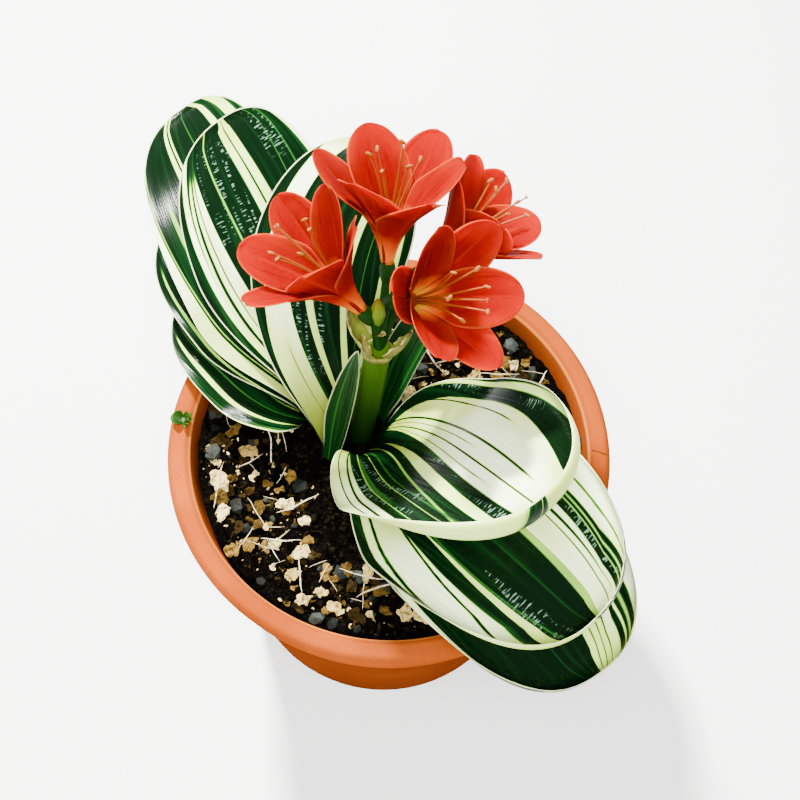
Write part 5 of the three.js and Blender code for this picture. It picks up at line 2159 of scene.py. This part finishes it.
# ---------------- stage
@dataclass(frozen=True)
class FloorSkin(Skin):
    """A plain pale floor."""

    PALE = ((0.94, 0.94, 0.94), (0.96, 0.96, 0.955))

    def sockets(self, s: Surface) -> dict[str, object]:
        """What feeds the shader."""
        cloud = s.noise(s.place(), 3.0)
        return {"Base Color": s.mix(cloud, *self.PALE), "Roughness": 0.85 + 0.05 * cloud}


@dataclass
class Studio:
    """The floor, the lights and the camera."""

    target: Place = (3.7, 25.4, 200.0)
    distance: float = 635.0
    elevation: float = 64.0
    roll: float = 4.0
    view: float = 38.0
    floor_reach: float = 3.0  # in metres
    sky: float = 0.5

    def floor(self) -> None:
        """Lays the floor."""
        mesh = bpy.data.meshes.new("floor")
        signs = ((-1, -1), (1, -1), (1, 1), (-1, 1))
        corners = [(self.floor_reach * x, self.floor_reach * y, 0.0) for x, y in signs]
        mesh.from_pydata(corners, [], [(0, 1, 2, 3)])
        mesh.materials.append(FloorSkin("Pale floor").material())
        new_object("floor", mesh)

    def camera(self) -> None:
        """Places the camera, tipped a little about its own axis."""
        e, r = math.radians(self.elevation), math.radians(self.roll)
        back = Vector((0, -math.cos(e), math.sin(e)))
        right, up = Vector((1, 0, 0)), Vector((0, math.sin(e), math.cos(e)))
        x = right * math.cos(r) + up * math.sin(r)
        y = up * math.cos(r) - right * math.sin(r)
        place = (Vector(self.target) + back * self.distance) * MM
        lens = bpy.data.cameras.new("camera")
        lens.sensor_width = 36.0
        lens.sensor_fit = "HORIZONTAL"
        lens.angle = math.radians(self.view)
        camera = new_object("camera", lens)
        camera.matrix_world = Matrix.Translation(place) @ Matrix((x, y, back)).transposed().to_4x4()
        bpy.context.scene.camera = camera

    def lamp(
        self, name: str, place: Place, size: float, power: float, colour: Colour, glossy: bool
    ) -> None:
        """Adds a square soft light that looks at the plant.

        Args:
            name: its name.
            place: where it hangs, in metres.
            size: the length of its side, in metres.
            power: in watts.
            colour: its colour.
            glossy: whether it is seen in glossy surfaces.
        """
        light = bpy.data.lights.new(name, "AREA")
        light.size, light.energy, light.color = size, power, colour
        lamp = new_object(name, light)
        lamp.location = place
        aim = Vector(self.target) * MM - Vector(place)
        lamp.rotation_euler = aim.to_track_quat("-Z", "Y").to_euler()
        lamp.visible_glossy = glossy

    def world(self) -> None:
        """Lights everything softly from all round."""
        world = bpy.data.worlds.new("studio")
        world.use_nodes = True
        inputs = world.node_tree.nodes["Background"].inputs
        inputs["Color"].default_value = (1, 1, 1, 1)
        inputs["Strength"].default_value = self.sky
        bpy.context.scene.world = world

    def build(self) -> None:
        """Sets the stage."""
        self.camera()
        self.floor()
        self.world()
        self.lamp("key", (-0.55, 0.9, 1.55), 0.17, 210.0, (1.0, 0.985, 0.96), True)
        self.lamp("fill", (-0.05, -0.75, 1.8), 0.9, 105.0, (1.0, 1.0, 1.0), False)


# ---------------- assembly
def main() -> None:
    """Builds the pot, the plant and the studio."""
    logging.basicConfig(level=logging.INFO, format="%(name)s %(message)s")
    Studio().build()
    pot = Pot()
    pot.build()
    Soil(pot).build()
    for leaf in LEAVES:
        leaf.build()
    umbel = Umbel()
    umbel.build_stalk()
    umbel.build_spathe()
    Seedling().build()
    tepal = TepalSkin("Tepal").material()
    filament = StamenSkin("Filament", (0.2, 0.035, 0.0008), (0.22, 0.045, 0.0015)).material()
    anther = StamenSkin("Anther", (0.17, 0.042, 0.0002), (0.21, 0.06, 0.0003), 0.7).material()
    for flower in FLOWERS:
        flower.build(tepal)
        flower.build_stamens(filament, anther)


if __name__ == "__main__":
    main()
